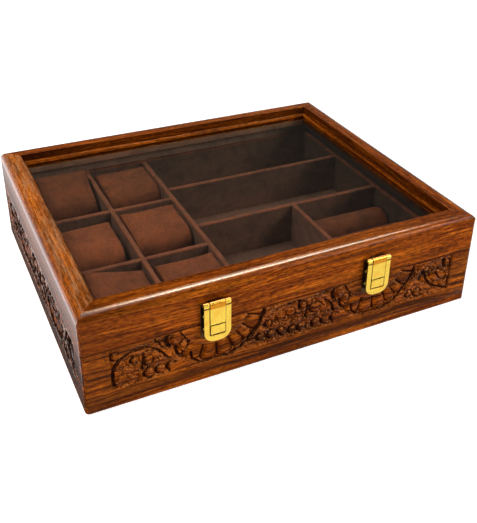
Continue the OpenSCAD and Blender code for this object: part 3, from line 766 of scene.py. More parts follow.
class OrganizerBoards(bpy.types.Operator):
    """Four mitred boards of the base, three of them carved"""

    bl_idname = "organizer.boards"
    bl_label = "Base boards"

    def execute(self, context):
        look = context.scene.box_wood
        for lot, side in enumerate(SIDES):
            width, depth = span(side)
            lo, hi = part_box(f"base_{side}")
            obj = block(f"{side}_board", (-width / 2, -depth / 2, lo.z),
                        (width / 2, depth / 2, hi.z))
            round_edges(obj, is_upright, look.corner_round, CORNER_STEPS)
            saw(obj, (Vector((0, -depth / 2 + BOARD_T, 0)), Vector((0, 1, 0))),
                *mitre_cuts(width, depth))
            soften(obj, look.edge_round)
            carved = side != "back"
            if carved:
                carve(obj, side, width, depth)
            else:
                let_in_leaves(obj, hi.z - LEAF_T)
            turned(obj, SIDES[side])
            finish = wood(side, lot + 2, carved, streaks=1.35, shade=1.08)
            place(obj, "box", "wood", finish, f"base_{side}")
        return {"FINISHED"}


class OrganizerLid(bpy.types.Operator):
    """Four mitred rails of the lid's frame"""

    bl_idname = "organizer.lid"
    bl_label = "Lid frame"

    def execute(self, context):
        look = context.scene.box_wood
        r, corner, corner_cuts = look.top_round, look.corner_round, 4
        # The rail's width, the ledge that carries the glass and the wall under it
        rail, ledge, wall = BEAD_LO.y - LID_LO.y, LID_HI.y - LID_LO.y, BOARD_T - 0.5 * MM
        shelf, under = GLASS_LO.z, GLASS_LO.z - 5 * MM
        for lot, side in enumerate(SIDES):
            width, depth = span(side)
            y0 = -depth / 2
            outline = [(y0, LID_LO.z), *bend(y0 + r, LID_HI.z - r, r, 180, 90, TOP_STEPS),
                       (y0 + rail, LID_HI.z), (y0 + rail, shelf), (y0 + ledge, shelf),
                       (y0 + ledge, under), (y0 + wall, under), (y0 + wall, LID_LO.z)]
            obj = extruded(f"{side}_rail", outline, -width / 2, width / 2)
            cuts = list(mitre_cuts(width, depth))
            for s in (-1, 1):
                hub = Vector((s * (width / 2 - corner), y0 + corner, 0))
                for k in range(1, corner_cuts + 1):
                    a = radians(45) * k / corner_cuts
                    out = Vector((s * sin(a), -cos(a), 0))
                    cuts.append((hub + out * corner, out))
            saw(obj, *cuts)
            soften(obj, look.edge_round)
            if side == "back":
                let_in_leaves(obj, LID_LO.z)
            faces = obj.data.polygons
            inner = [f.index for f in faces if f.normal.y > 0.2 and f.center.z < shelf
                     and f.center.y < y0 + ledge + 0.1 * MM]
            above = [f.index for f in faces if f.normal.y > 0.9 and f.center.z > shelf]
            turned(obj, SIDES[side])
            place(obj, "lid", "wood", wood(side, lot, streaks=0.7), f"lid_{side}")
            # Painted light: each side's lining is a lighter or darker copy for the light
            # that side gets, and the inner faces above the glass take the wood at painted
            # shade, with painted shade along the glass
            lit = {"right": 0.35, "back": 2.8}.get(side, 1.5)
            lining = suede(f"suede_lid_lining_{side}",
                           Vector(context.scene.box_suede.lid) * lit)
            shaded_wood = wood(side, lot, shade=0.3, joints=(GLASS_HI.z,))
            for index, (finish, chosen) in enumerate(
                    ((lining, inner), (shaded_wood, above)), 1):
                obj.data.materials.append(finish)
                for k in chosen:
                    obj.data.polygons[k].material_index = index
        return {"FINISHED"}


class OrganizerBeads(bpy.types.Operator):
    """Four mitred glazing beads on the glass"""

    bl_idname = "organizer.beads"
    bl_label = "Glazing beads"

    def execute(self, context):
        inset, size = BEAD_LO.y - LID_LO.y, BEAD_HI.y - BEAD_LO.y
        for lot, side in enumerate(SIDES):
            width, depth = (v - 2 * inset for v in span(side))
            back = -depth / 2 + size
            obj = block(f"{side}_bead", (-width / 2, -depth / 2, BEAD_LO.z),
                        (width / 2, back, BEAD_HI.z))
            saw(obj, *mitre_cuts(width, depth))
            # Rounded where it looks over the glass
            round_edges(obj, lambda e: all(v.co.z > BEAD_HI.z - HAIR and v.co.y > back - HAIR
                                           for v in e.verts), 1.2 * MM, 4)
            soften(obj, context.scene.box_wood.edge_round * 0.5)
            turned(obj, SIDES[side])
            # Painted shade along the bead's foot on the glass
            place(obj, "lid", "wood", wood(side, lot + 7, shade=0.6, joints=(BEAD_LO.z,)),
                  f"bead_{side}")
        return {"FINISHED"}


class OrganizerGlass(bpy.types.Operator):
    """Glass pane with its ground edge"""

    bl_idname = "organizer.glass"
    bl_label = "Glass pane"

    def execute(self, context):
        pane = soften(block("glass_pane", GLASS_LO, GLASS_HI), 0.4 * MM)
        place(pane, "lid", "glass", clear_glass(), "lid_glass")
        return {"FINISHED"}


# ------------------------------------------------------------------ lining and dividers


def padded_board(name, lo, hi, drop=0.0):
    """A board of thin wood covered in suede: rounded along the top, a little uneven."""
    lo, hi = Vector(lo), Vector(hi)
    hi.z -= drop
    obj = block(name, lo, hi)
    long = 0 if hi.x - lo.x > hi.y - lo.y else 1
    round_edges(obj, lambda e: all(v.co.z > hi.z - HAIR / 10 for v in e.verts)
                and abs(e.verts[0].co[long] - e.verts[1].co[long]) > 0.01,
                bpy.context.scene.box_suede.rim_round, RIM_STEPS)
    # Cut crosswise every 6 mm, so that it can sway and be dented a little
    way, cell, sway, dent = Vector((1 - long, long, 0)), 6 * MM, 0.22 * MM, 0.15 * MM
    count = max(6, round((hi[long] - lo[long]) / cell))
    with editing(obj):
        for k in range(1, count):
            bpy.ops.mesh.select_all(action="SELECT")
            at = lo[long] + (hi[long] - lo[long]) * k / count
            bpy.ops.mesh.bisect(plane_co=way * at, plane_no=way)
    for v in obj.data.vertices:
        if lo[long] + HAIR < v.co[long] < hi[long] - HAIR and v.co.z > lo.z + HAIR:
            share = (v.co.z - lo.z) / (hi.z - lo.z)
            aside, down = waves(v.co, 40, 3.0), min(waves(v.co, 150, 8.0), 0.0)
            v.co[1 - long] += sway * aside * share
            v.co.z += dent * down * share
    return shaded(obj, SOFT_SHADE)


def lining_suede():
    look = bpy.context.scene.box_suede
    return suede("suede_lining", look.lining, look.rim)


class OrganizerTray(bpy.types.Operator):
    """Suede lining of the tray: its floor and its four walls"""

    bl_idname = "organizer.tray"
    bl_label = "Tray lining"

    def execute(self, context):
        look = context.scene.box_suede
        floor, cuts, dent = block("tray_lining", TRAY_LO, TRAY_HI), 30, 0.12 * MM
        with editing(floor):
            bpy.ops.mesh.subdivide(number_cuts=cuts)
        for v in floor.data.vertices:
            if v.co.z > TRAY_HI.z - HAIR:
                v.co.z -= dent * abs(waves(v.co, 60, 1.0))
        place(shaded(floor, SOFT_SHADE), "box", "suede", lining_suede(), "tray_floor")
        for side in SIDES:
            wall = padded_board(f"{side}_wall", *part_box(f"tray_{side}"))
            # The right wall's suede is darker than the others: painted shade
            place(wall, "box", "suede", lining_suede() if side != "right" else suede(
                "suede_lining_right", Vector(look.lining) * 0.45, Vector(look.rim) * 0.7),
                f"tray_{side}")
        return {"FINISHED"}


class OrganizerDividers(bpy.types.Operator):
    """Suede-covered dividers between the compartments"""

    bl_idname = "organizer.dividers"
    bl_label = "Dividers"

    def execute(self, context):
        # How far each one's pressed top lies below its solid's, in mm
        drops = {"main_divider": 0.0, "pillow_divider": 0.0, "ring_divider": 0.15,
                 "rear_divider": 0.1, "middle_divider": 0.1, "row_divider_front": 0.2,
                 "row_divider_rear": 0.2}
        for node, drop in drops.items():
            board = padded_board(f"{node}_board", *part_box(node), drop * MM)
            place(board, "box", "suede", lining_suede(), node)
        return {"FINISHED"}


# ------------------------------------------------------------------ pillows and ring rolls


def rounded_outline(depth, height, radii, steps=CORNER_STEPS):
    """Section in the YZ plane, its middle at the origin; radii from the top back, round."""
    out = []
    for sy, sz, start, r in zip((1, -1, -1, 1), (1, 1, -1, -1), (0, 90, 180, 270), radii):
        out += bend(sy * (depth / 2 - r), sz * (height / 2 - r), r, start, start + 90, steps)
    return out


def stuffed(name, width, depth, height, radii):
    """A stuffed suede block lying on the origin's level, swollen by its filling."""
    look = bpy.context.scene.box_suede
    grown, last_step, shy = 10.0, 20, 0.5 * look.swell
    outline = rounded_outline(depth - 2 * shy, height - 2 * shy,
                              [max(r - shy, 1 * MM) for r in radii])
    obj = extruded(name, outline, -width / 2 + 0.3 * shy, width / 2 - 0.3 * shy)
    obj.data.transform(Matrix.Scale(grown, 4))
    modified(obj, "even_cells", "REMESH", mode="VOXEL", voxel_size=look.weave * grown)
    before = [v.co.copy() for v in obj.data.vertices]
    cloth = obj.modifiers.new("filling", "CLOTH")
    for key, value in {"quality": 5, "mass": 0.3, "use_pressure": True,
                       "uniform_pressure_force": 4}.items():
        setattr(cloth.settings, key, value)
    cloth.settings.effector_weights.gravity = 0
    cloth.collision_settings.use_collision = False
    cloth.point_cache.frame_start, cloth.point_cache.frame_end = 1, last_step
    for step in range(1, last_step + 1):
        bpy.context.scene.frame_set(step)
    bpy.ops.object.modifier_apply(modifier=cloth.name)
    bpy.context.scene.frame_set(1)
    cap = look.swell * grown
    for v, start in zip(obj.data.vertices, before):
        move = v.co - start
        if move.length > cap:
            v.co = start + move * (cap / move.length)
    modified(obj, "finer", "SUBSURF", levels=1, render_levels=1)
    obj.data.transform(Matrix.Translation((0, 0, height / 2)) @ Matrix.Scale(1 / grown, 4))
    across = obj.data.attributes.new("across", "FLOAT", "POINT")
    across.data.foreach_set("value", [abs(v.co.x) for v in obj.data.vertices])
    return obj


def kept_inside(obj, lo, hi):
    """Flattens a soft piece where it meets the limits of its place."""
    for v in obj.data.vertices:
        v.co = [min(max(c, a), b) for c, a, b in zip(v.co, lo, hi)]
    alone(obj)
    bpy.ops.object.shade_smooth()


# Each pillow's pitch and roll in degrees, and the share of the suede's colour that it keeps:
# painted light and shade
PILLOWS = {
    "rear_left": (25, 0, 0.74), "rear_right": (0, 0, 0.83), "middle_left": (0, 0, 1.02),
    "middle_right": (0, 0, 1.0), "front_left": (0, 13, 0.9), "front_right": (0, 0, 0.97)}


class OrganizerPillows(bpy.types.Operator):
    """Six stuffed pillows for watches and bracelets"""

    bl_idname = "organizer.pillows"
    bl_label = "Pillows"

    def execute(self, context):
        look = context.scene.box_suede
        lo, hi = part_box("pillow_rear_right")
        size = hi - lo
        front, back = 15.5 * MM, 6 * MM
        radii = (back, front, front, back)
        first = stuffed("pillow", *size, radii)
        plain = [Vector((x, y, z)) for x in (-size.x / 2, size.x / 2)
                 for y, z in rounded_outline(size.y, size.z, radii, 24)]
        for lot, (spot, (pitch, roll, cover_tone)) in enumerate(PILLOWS.items()):
            node = f"pillow_{spot}"
            lo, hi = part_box(node)
            obj = first.copy()
            obj.data = first.data.copy()
            linked(named(obj, f"{spot}_pillow"))
            seed = Vector((lot * 3.1, lot * 1.7, 0))
            for v in obj.data.vertices:
                p = v.co * 38 + seed
                crumple = Vector((0.25 * noise.noise(p + Vector((9, 0, 0))),
                                  0.35 * noise.noise(p), 0.55 * noise.noise(p * 0.8)))
                v.co += crumple * MM * min(v.co.z / size.z, 1)
            turn = (Matrix.Rotation(radians(pitch), 4, "X")
                    @ Matrix.Rotation(radians(roll), 4, "Y"))
            centre = Matrix.Translation((0, 0, -size.z / 2))
            corner = Vector(min((turn @ v)[axis] for v in plain) for axis in range(3))
            obj.data.transform(Matrix.Translation(lo - corner) @ turn @ centre)
            kept_inside(obj, lo, hi + Vector((0, 0, 0.8 * MM)))
            cover = suede(f"suede_{node}", Vector(look.pillow) * cover_tone,
                          seam=size.x / 2 - 0.3 * MM)
            place(obj, node, "suede", cover, node)
        bpy.data.objects.remove(first)
        return {"FINISHED"}


class OrganizerRolls(bpy.types.Operator):
    """Padded rolls that hold rings in the slots between them"""

    bl_idname = "organizer.rolls"
    bl_label = "Ring rolls"

    def execute(self, context):
        look = context.scene.box_suede
        # The rolls' suede is darker than the pillows': painted shade
        cover = suede("suede_ring_rolls", Vector(look.pillow) * 0.72, seam=38 * MM)
        for which in ("rear", "middle", "front"):
            lo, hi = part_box(f"ring_roll_{which}")
            size = hi - lo
            top, foot = size.y / 2 - 0.1 * MM, 1.5 * MM
            obj = stuffed(f"{which}_ring_roll", *size, (top, top, foot, foot))
            kept_inside(moved(obj, ((lo.x + hi.x) / 2, (lo.y + hi.y) / 2, lo.z)), lo, hi)
            place(obj, "box", "suede", cover, f"ring_roll_{which}")
        return {"FINISHED"}


# ------------------------------------------------------------------ latches and hinges


def bar(name, outline, lo, hi, edge):
    """A section drawn out along X with polished edges."""
    return soften(extruded(name, outline, lo, hi), edge, 2, 30)


def plate_outline(width, low, high, radius, steps=TOP_STEPS):
    """Front outline (x, z) of a plate with its two foot corners rounded."""
    out = [(width / 2, high), (-width / 2, high)]
    for s, start in ((-1, 180), (1, 270)):
        out += bend(s * (width / 2 - radius), low + radius, radius, start, start + 90, steps)
    return out


def sheet_metal(name, outline, back, front, edge):
    """An outline of (x, z) points given its thickness towards the viewer."""
    obj = extruded(name, outline, front, back)
    # Drawn along X with (y, z): X and Y change places so that its face looks to the front
    obj.data.transform(Matrix(((0, 1, 0, 0), (1, 0, 0, 0), (0, 0, 1, 0), (0, 0, 0, 1))))
    with editing(obj):
        bpy.ops.mesh.normals_make_consistent(inside=False)
    return soften(obj, edge, 2, 30)


class OrganizerLatches(bpy.types.Operator):
    """Two brass flap latches with their plates, pins and nails"""

    bl_idname = "organizer.latches"
    bl_label = "Latches"

    def execute(self, context):
        look = context.scene.box_brass
        edge = look.edge
        flap_lo, flap_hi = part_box("latch_right_flap")
        plate_lo, plate_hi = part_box("latch_right_lid_plate")
        foot_lo, foot_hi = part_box("latch_right_base_plate")
        pin_lo, pin_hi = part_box("latch_right_pin")
        axis_y, axis_z = (pin_lo.y + pin_hi.y) / 2, (pin_lo.z + pin_hi.z) / 2
        pin_r, curl = (pin_hi.z - pin_lo.z) / 2, plate_hi.z - axis_z
        # The raised middle, the tongue over it and the window of the flap round both
        boss_y, boss_w, boss_foot = foot_lo.y, 10.6 * MM, SEAM_Z - 7.4 * MM
        window = boss_w + 1 * MM
        tongue, aside = window / 2 - 0.3 * MM, 0.22 * MM
        w, flap_w = plate_hi.x - plate_lo.x, flap_hi.x - flap_lo.x - 1.4 * MM
        wood_y, inlet, face_y = BOX_LO.y, BOX_LO.y + 0.1 * MM, BOX_LO.y - look.plate
        behind, fold = flap_lo.y + 0.7 * look.sheet, plate_hi.z - 5.1 * MM
        metal = brass("polished_brass", shaded_from=behind, fold=fold)
        loops = brass("flap_brass", shaded_from=behind, slit=fold + 1.5 * MM)
        dull = brass("handled_brass", 0.35)
        for side, at in (("left", -LATCH_X), ("right", LATCH_X)):
            # Lid plate: flat on the wood, its tongue curled over the pin and down
            flat = sheet_metal("plate", [(at - w / 2, plate_lo.z), (at + w / 2, plate_lo.z),
                                         (at + w / 2, axis_z), (at - w / 2, axis_z)],
                               wood_y, face_y, edge)
            neck = plate_hi.z - 4.2 * MM
            section = [(inlet, plate_lo.z), (boss_y, plate_lo.z), (boss_y, neck),
                       (boss_y - 0.35 * MM, neck + 1.1 * MM),
                       *bend(axis_y, axis_z, curl, 180, 75, 12),
                       (inlet, plate_hi.z - 0.25 * MM)]
            over = bar("tongue", section, at + aside - tongue, at + aside + tongue, edge)
            place(joined(f"{side}_lid_plate", flat, over), "lid", "brass", metal,
                  f"latch_{side}_lid_plate")
            # Base plate with its raised middle
            flat = sheet_metal("plate", [
                (at + x, z) for x, z in plate_outline(w, foot_lo.z, foot_hi.z, 4 * MM)],
                wood_y, face_y, edge)
            section = [(inlet, foot_hi.z), (inlet, boss_foot), (wood_y - 1 * MM, boss_foot),
                       *bend(boss_y + 1.2 * MM, boss_foot + 1.2 * MM, 1.2 * MM, 270, 180, 6),
                       (boss_y, foot_hi.z)]
            raised = bar("raised", section, at + aside - boss_w / 2, at + aside + boss_w / 2,
                         edge)
            place(joined(f"{side}_base_plate", flat, raised), "box", "brass", metal,
                  f"latch_{side}_base_plate")
            # Flap: a loop of sheet brass whose two arms curl round the pin
            outer = plate_outline(flap_w, flap_lo.z + 0.6 * MM, axis_z, 7.6 * MM, 14)
            low, slant = SEAM_Z - 7.9 * MM, 0.8 * MM
            left = [(-window / 2, axis_z), (-window / 2, low + slant),
                    (-window / 2 + slant, low)]
            inner = [*left, *((-x, z) for x, z in reversed(left))]
            loop = [(at + x, z) for x, z in [*outer[1:], outer[0], *reversed(inner)]]
            parts = [sheet_metal("loop", loop, flap_lo.y + look.sheet, flap_lo.y, edge)]
            ring = [*bend(axis_y, axis_z, curl, 185, -60, 20),
                    *bend(axis_y, axis_z, pin_r + 0.3 * MM, -60, 185, 20)]
            for s in (-1, 1):
                ends = sorted((at + s * window / 2, at + s * flap_w / 2))
                parts.append(bar("curl", ring, *ends, edge * 0.7))
            place(joined(f"{side}_flap", *parts), f"{side}_flap", "brass", loops,
                  f"latch_{side}_flap")
            # Pin with peened ends
            pin = soften(primitive(
                "cylinder", vertices=20, radius=pin_r, depth=flap_w + 0.4 * MM,
                location=(at, axis_y, axis_z), rotation=(0, radians(90), 0)),
                0.25 * MM, 3, 30)
            place(named(pin, f"{side}_latch_pin"), "lid", "brass", dull, f"latch_{side}_pin")
        for part, body in (("lid", "lid"), ("base", "box")):
            self.nails(part, body, dull)
        return {"FINISHED"}

    def nails(self, part, body, metal):
        """Domed nails beside the raised middles."""
        lo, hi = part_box(f"latch_{part}_nails")
        level, head = (lo.z + hi.z) / 2, (hi.z - lo.z) / 2
        made = []
        for x, _ in fixings(LATCH_X, hi.x - head - LATCH_X):
            dome = primitive("uv_sphere", segments=20, ring_count=10, radius=head)
            dome.data.transform(Matrix.Diagonal((1, (BOX_LO.y - lo.y) / head * 0.98, 1, 1)))
            saw(dome, (Vector((0, 0, 0)), Vector((0, 1, 0))))
            shank = primitive("cylinder", vertices=12, radius=head * 0.45,
                              depth=hi.y - BOX_LO.y, rotation=(radians(90), 0, 0),
                              location=(x, (hi.y + BOX_LO.y) / 2, level))
            made += [moved(dome, (x, BOX_LO.y, level)), shank]
        place(shaded(joined(f"{part}_nails", *made), FLAT_SHADE), body, "brass", metal,
              f"latch_{part}_nails")


class OrganizerHinges(bpy.types.Operator):
    """Two butt hinges at the back with their slotted screws"""

    bl_idname = "organizer.hinges"
    bl_label = "Hinges"

    def execute(self, context):
        metal, dull = brass("hinge_brass", metallic=0.6), brass("handled_brass", 0.35)
        for side in ("left", "right"):
            for part, finish in (("base_leaf", metal), ("lid_leaf", metal), ("pin", dull)):
                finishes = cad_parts[f"hinge_{side}_{part}"].data.materials
                finishes.clear()
                finishes.append(finish)
        for part, body, way in (("base", "box", 1), ("lid", "lid", -1)):
            self.screws(part, body, way, dull)
        return {"FINISHED"}

    def screws(self, part, body, way, metal):
        """Countersunk screws; way is 1 where the heads look up."""
        lo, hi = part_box(f"hinge_{part}_screws")
        head, cone_h, slot = (hi.y - lo.y) / 2, 1.2 * MM, 0.25 * MM
        middle, y, long = (HINGE_LO.x + HINGE_HI.x) / 2, (lo.y + hi.y) / 2, hi.z - lo.z
        made = []
        for x, s in fixings(middle, hi.x - head - middle):
            cone = primitive("cone", vertices=28, radius1=head * 0.47, radius2=head,
                             depth=cone_h, location=(0, 0, -cone_h / 2))
            halves = []
            for k in (-1, 1):
                half = linked(cone.copy())
                half.data = cone.data.copy()
                halves.append(saw(half, (Vector((0, k * slot, 0)), Vector((0, -k, 0)))))
            saw(cone, (Vector((0, 0, -0.7 * MM)), Vector((0, 0, 1))))
            shank = primitive("cone", vertices=16, radius1=0.15 * MM, radius2=0.9 * MM,
                              depth=long - cone_h, location=(0, 0, -(cone_h + long) / 2))
            screw = turned(joined("screw", *halves, cone, shank), 35 * s + 20)
            if way < 0:
                turned(screw, 180, "X")
            made.append(moved(screw, (x, y, hi.z if way > 0 else lo.z)))
        place(shaded(joined(f"{part}_hinge_screws", *made), FLAT_SHADE), body, "brass",
              metal, f"hinge_{part}_screws")


# ------------------------------------------------------------------ carving

# Depths in mm: the deepest stroke, and the limit that chisel marks may reach
DEEPEST, FULL_DEPTH = 2.35, 2.4
# Level in mm of the point that the fingers of a fan spread from, and the disc inside them
FAN_Z, DISC_R = 54.5, 25.2


def ease(values):
    return np.clip(values, 0, 1)


def smooth_line(points, steps=6):
    """Points of a Catmull-Rom curve through the points given."""
    pts = [np.array(p, float) for p in points]
    pts = [2 * pts[0] - pts[1], *pts, 2 * pts[-1] - pts[-2]]
    out = []
    for a, b, c, d in zip(pts, pts[1:], pts[2:], pts[3:]):
        for k in range(steps):
            t = k / steps
            out.append(0.5 * (2 * b + (c - a) * t + (2 * a - 5 * b + 4 * c - d) * t**2
                              + (3 * b - a - 3 * c + d) * t**3))
    return [*out, pts[-2]]


class Relief:
    """Depth of a carved sheet under the wood's face, drawn stroke by stroke, in mm.

    u runs along the board from the middle of a fan, z up from the table."""

    def __init__(self, u, z, depth):
        self.u, self.z, self.depth = u, z, depth

    def moved(self, by, squeeze):
        """The same sheet seen from another fan."""
        return Relief((self.u - by) * squeeze, self.z, self.depth)

    def far(self, points):
        """Distance from a smooth line, and how far along it the nearest place lies."""
        line = smooth_line(points) if len(points) > 2 else points
        far, along = np.full(self.u.shape, 1e9), np.zeros(self.u.shape)
        for k, ((x0, y0), (x1, y1)) in enumerate(zip(line, line[1:])):
            dx, dy = x1 - x0, y1 - y0
            t = ease(((self.u - x0) * dx + (self.z - y0) * dy) / (dx * dx + dy * dy + 1e-12))
            here = np.hypot(self.u - x0 - t * dx, self.z - y0 - t * dy)
            along = np.where(here < far, (k + t) / (len(line) - 1), along)
            far = np.minimum(far, here)
        return far, along

    def cut(self, points, half, taper=0.0, depth=DEEPEST):
        """A gouged groove; taper narrows it towards its far end."""
        far, along = self.far(points)
        reach = 1.3 * half * (1 - taper * along)
        share = ease(1.35 * (1 - (far / reach) ** 2))
        np.maximum(self.depth, share * depth, out=self.depth)

    def band(self, points, half, level, flank=0.55):
        """A raised stem, a little rounded, with steep flanks."""
        far, _ = self.far(points)
        crown = level + 0.45 * ease(far / half) ** 2
        share = ease((half - far) / flank)
        self.depth[:] = self.depth * (1 - share) + np.minimum(crown, self.depth) * share

    def lobe(self, at, long, short, turn=0.0, level=0.25, moat=1.7):
        """A domed lobe in its own cut, which is wider on its left."""
        a = radians(turn)

        def inside(dx, dz, more):
            x, y = self.u - at[0] - dx, self.z - at[1] - dz
            u, v = x * cos(a) + y * sin(a), -x * sin(a) + y * cos(a)
            return 1 - (u / (long + more)) ** 2 - (v / (short + more)) ** 2

        ring = ease(3.0 * inside(-0.55 * moat, 0.1, moat))
        np.maximum(self.depth, ring * DEEPEST, out=self.depth)
        q = ease(inside(0, 0, 0))
        dome = level + (DEEPEST - level) * (1 - q ** 0.55)
        self.depth[:] = np.where(q > 0, np.minimum(dome, DEEPEST), self.depth)

    def plain(self, mask, level=0.0):
        self.depth[mask] = level

    def fan(self, low, start, reach, angles):
        """Fingers that fan out below a point low above the panel."""
        angle = np.degrees(np.arctan2(self.u, low - self.z))
        r = np.hypot(self.u, low - self.z)
        for a0, a1 in zip(angles, angles[1:]):
            t = (angle - a0) / (a1 - a0)
            end = reach - 2.2 + 2.4 * np.sqrt(ease(1 - (2 * t - 1) ** 2))
            inside = (t > 0) & (t < 1) & (r > start) & (r < end)
            across = ease(1 - np.abs(2.15 * t - 1.2) ** 2.2) ** 0.6
            away = ease((end - r) / 2.2) ** 0.5
            along = (r - start) / (reach - start)
            crown = 0.55 + 0.5 * (2 * along - 1.1) ** 2 + 0.25 * ease(0.3 - along)
            depth = DEEPEST - (DEEPEST - crown) * across * away
            self.depth[:] = np.where(inside, depth, self.depth)


def ground_noise(s, z):
    """Chisel marks left on the ground and on the leaves, between -1 and 1."""
    return (np.array([noise.noise((a / run, b / rise, lot)) for a, b in zip(s, z)])
            for run, rise, lot in ((0.9, 0.9, 3.7), (3.2, 2.2, 9.1)))


# Without a seed the leaves would lie differently in each run
LEAF_SEED = 1


def leaves(u, z, pierced):
    """Small curled leaves that fill the ground, each domed, with a cut round it."""
    noise.seed_set(LEAF_SEED)
    pitch = 13 if pierced else 8.2
    near = np.full(u.shape, 1e9)
    second = near
    for i in range(int(u.min() // pitch) - 1, int(u.max() // pitch) + 2):
        for j in range(-1, 7):
            sway = noise.noise_vector((i * 1.7, j * 2.3, 5.1))
            dx = u - (i + 0.5 * (j % 2) + 0.5 * sway.x) * pitch
            dz = z - 12 - (j + 0.5 * sway.y) * pitch * 0.85
            a = 4 * sway.z + 0.7
            along = dx * cos(a) + dz * sin(a)
            far = np.hypot(along * 0.62, (dz * cos(a) - dx * sin(a) - 0.07 * along**2) * 1.5)
            second = np.minimum(second, np.maximum(near, far))
            near = np.minimum(near, far)
    if pierced:
        return 0.1 + 2.2 * ease(1.6 * (np.abs(near - 3.6) - 1.9))
    return 0.35 + 0.05 * near**1.5 + 1.05 * (1 - ease((second - near) / 1.8)) ** 1.6


def draw_arch(r, first):
    """The arch to the left of a fan and its flower; first is the one at the panel's end."""
    if first:
        r.cut([(-69.6, 15.8), (-70.6, 22.3), (-70, 28.8), (-66.7, 34.7), (-61.5, 38.9),
               (-55, 40.8)], 1.15)
        r.cut([(-55, 40.8), (-48.5, 40.8), (-43.3, 38.6), (-38.1, 34), (-32.9, 26.9)], 0.8)
        r.band([(-67, 37.6), (-61.5, 41.3), (-55, 43), (-48, 42.9), (-42, 40.2),
                (-36.5, 35.2), (-31, 28.2), (-26, 23)], 1.2, 0.1)
        r.band([(-63.5, 36.3), (-58, 38.4), (-51, 38.4), (-45, 36.2), (-41, 33)], 0.7, 0.7)
        r.lobe((-67.4, 39.4), 3.1, 2.9)
        r.lobe((-55, 32.7), 2.5, 2.1, 20)
        r.band([(-55.6, 31), (-57.5, 28), (-58.5, 25)], 0.7, 0.8)
        r.cut([(-49.5, 35.3), (-50.3, 29), (-51, 23)], 0.9, 0.4)
        r.lobe((-45.9, 29.3), 3.9, 2.9, 80)
    else:
        r.cut([(-93, 28), (-86.5, 36), (-80, 41), (-70.9, 43.2), (-63, 43.2), (-58, 41.6)],
              0.7)
        r.cut([(-47, 44), (-39, 38.7), (-34.5, 32.7), (-32, 25.5)], 1.1)
        r.band([(-97, 24), (-91, 32), (-83.4, 39.6), (-76, 44), (-67, 45.4), (-57, 45.3),
                (-47.5, 43.8), (-40.5, 40.6)], 1.5, 0.1)
        r.band([(-40.5, 40.6), (-34.8, 36), (-30.3, 29.5), (-27, 23), (-22, 20)], 1.4, 0.1)
        r.band([(-84, 33), (-79, 38), (-72, 40.4), (-64, 40.2)], 0.7, 0.6)
        r.lobe((-84, 30.5), 2.6, 2.2, 40, 0.5)
        r.lobe((-74.5, 33.6), 4.8, 4.0, 75, 0.35, 0.7)
        r.lobe((-66.8, 34.4), 5.0, 3.8, 110, 0.3, 0.5)
        r.lobe((-61, 31.6), 4.2, 3.2, 130, 0.4, 0.5)
        r.cut([(-60.5, 41.5), (-60.8, 38.5), (-60, 35.3)], 1.3, 0.3)
        r.lobe((-57, 38.6), 2.9, 2.5, -30)
        r.lobe((-46.5, 33.2), 4.6, 4.2, 20)
        r.lobe((-40.5, 31), 3.4, 3.6, -40, 0.45, 0.6)
        r.cut([(-53.5, 36), (-54.5, 31), (-56, 25.5)], 1.5, 0.2)
        r.band([(-78, 27.6), (-70, 26), (-62, 24.6), (-52, 25.6), (-44, 26.6)], 1.5, 0.9)
        r.lobe((-89.8, 21), 3.0, 2.6, 60)
        r.lobe((-81.3, 20.6), 3.4, 2.9, 60)
        r.lobe((-73, 20.4), 4.8, 2.4, -50, 0.35)
        r.lobe((-65, 19.5), 3.0, 2.6, 60, 0.5)
        r.lobe((-57.2, 19.7), 3.6, 3.2, 60)
    r.lobe((-45.6, 19.2), 3.6, 3.3, 60)
    r.lobe((-37.8, 19.4), 3.3, 3.1, 60)
    r.lobe((-30, 19.6), 3.4, 3.0, 65)
    if first:
        r.band([(-43, 26), (-38.5, 25.2), (-33, 24.5)], 1.0, 0.8)
        r.cut([(-42.7, 46), (-42, 43.6)], 1.3)
        r.lobe((-38.6, 43), 2.8, 1.9, -35, 0.4, 0.6)
        r.lobe((-36.3, 38.8), 2.4, 1.4, -50, 0.5, 0.5)


def draw_fan(r):
    """The big leaf, the fingers round the latch and the cut to the right of them."""
    r.cut([(-30.5, 46.2), (-34, 41.4), (-32.2, 36)], 1.7)
    r.lobe((-26.6, 40.6), 6.0, 4.2, 80, 0.15, 0.6)
    r.cut([(-28.5, 38.6), (-24.5, 41.4)], 0.5, 0.5, 1.2)
    r.lobe((-21.3, 32.6), 4.6, 3.3, 105, 0.2, 0.6)
    r.cut([(-27.6, 34), (-26.8, 29), (-24.5, 25)], 1.4, 0.4)
    r.band([(-24, 24.6), (-19.5, 26.2)], 1.3, 0.5)
    r.fan(FAN_Z, DISC_R, 38.8, (-41, -18, 2, 21, 35, 48, 66, 84))
    r.cut([(-17.2, 26), (-16, 20), (-11.5, 16)], 1.0)
    r.cut([(13, 15.8), (20.5, 19), (27, 25.2), (30.8, 30.4), (34, 35.6), (36.4, 42),
           (36.8, 46.2)], 1.5, 0.25)
    r.cut([(-11, 16), (0, 14.9), (13, 15.6)], 0.8)
    off = (r.u + 25) / 8
    r.plain((r.z < 15 + 8 * ease(1 - off**2)) & (r.z > 14.4) & (abs(off) < 1), 0.35)
    r.cut([(-23.4, 46.2), (-21.4, 41), (-18.4, 37.3)], 0.9)
    r.cut([(-18.2, 37.3), (-19.6, 33), (-21, 29.5)], 0.9, 0.6)


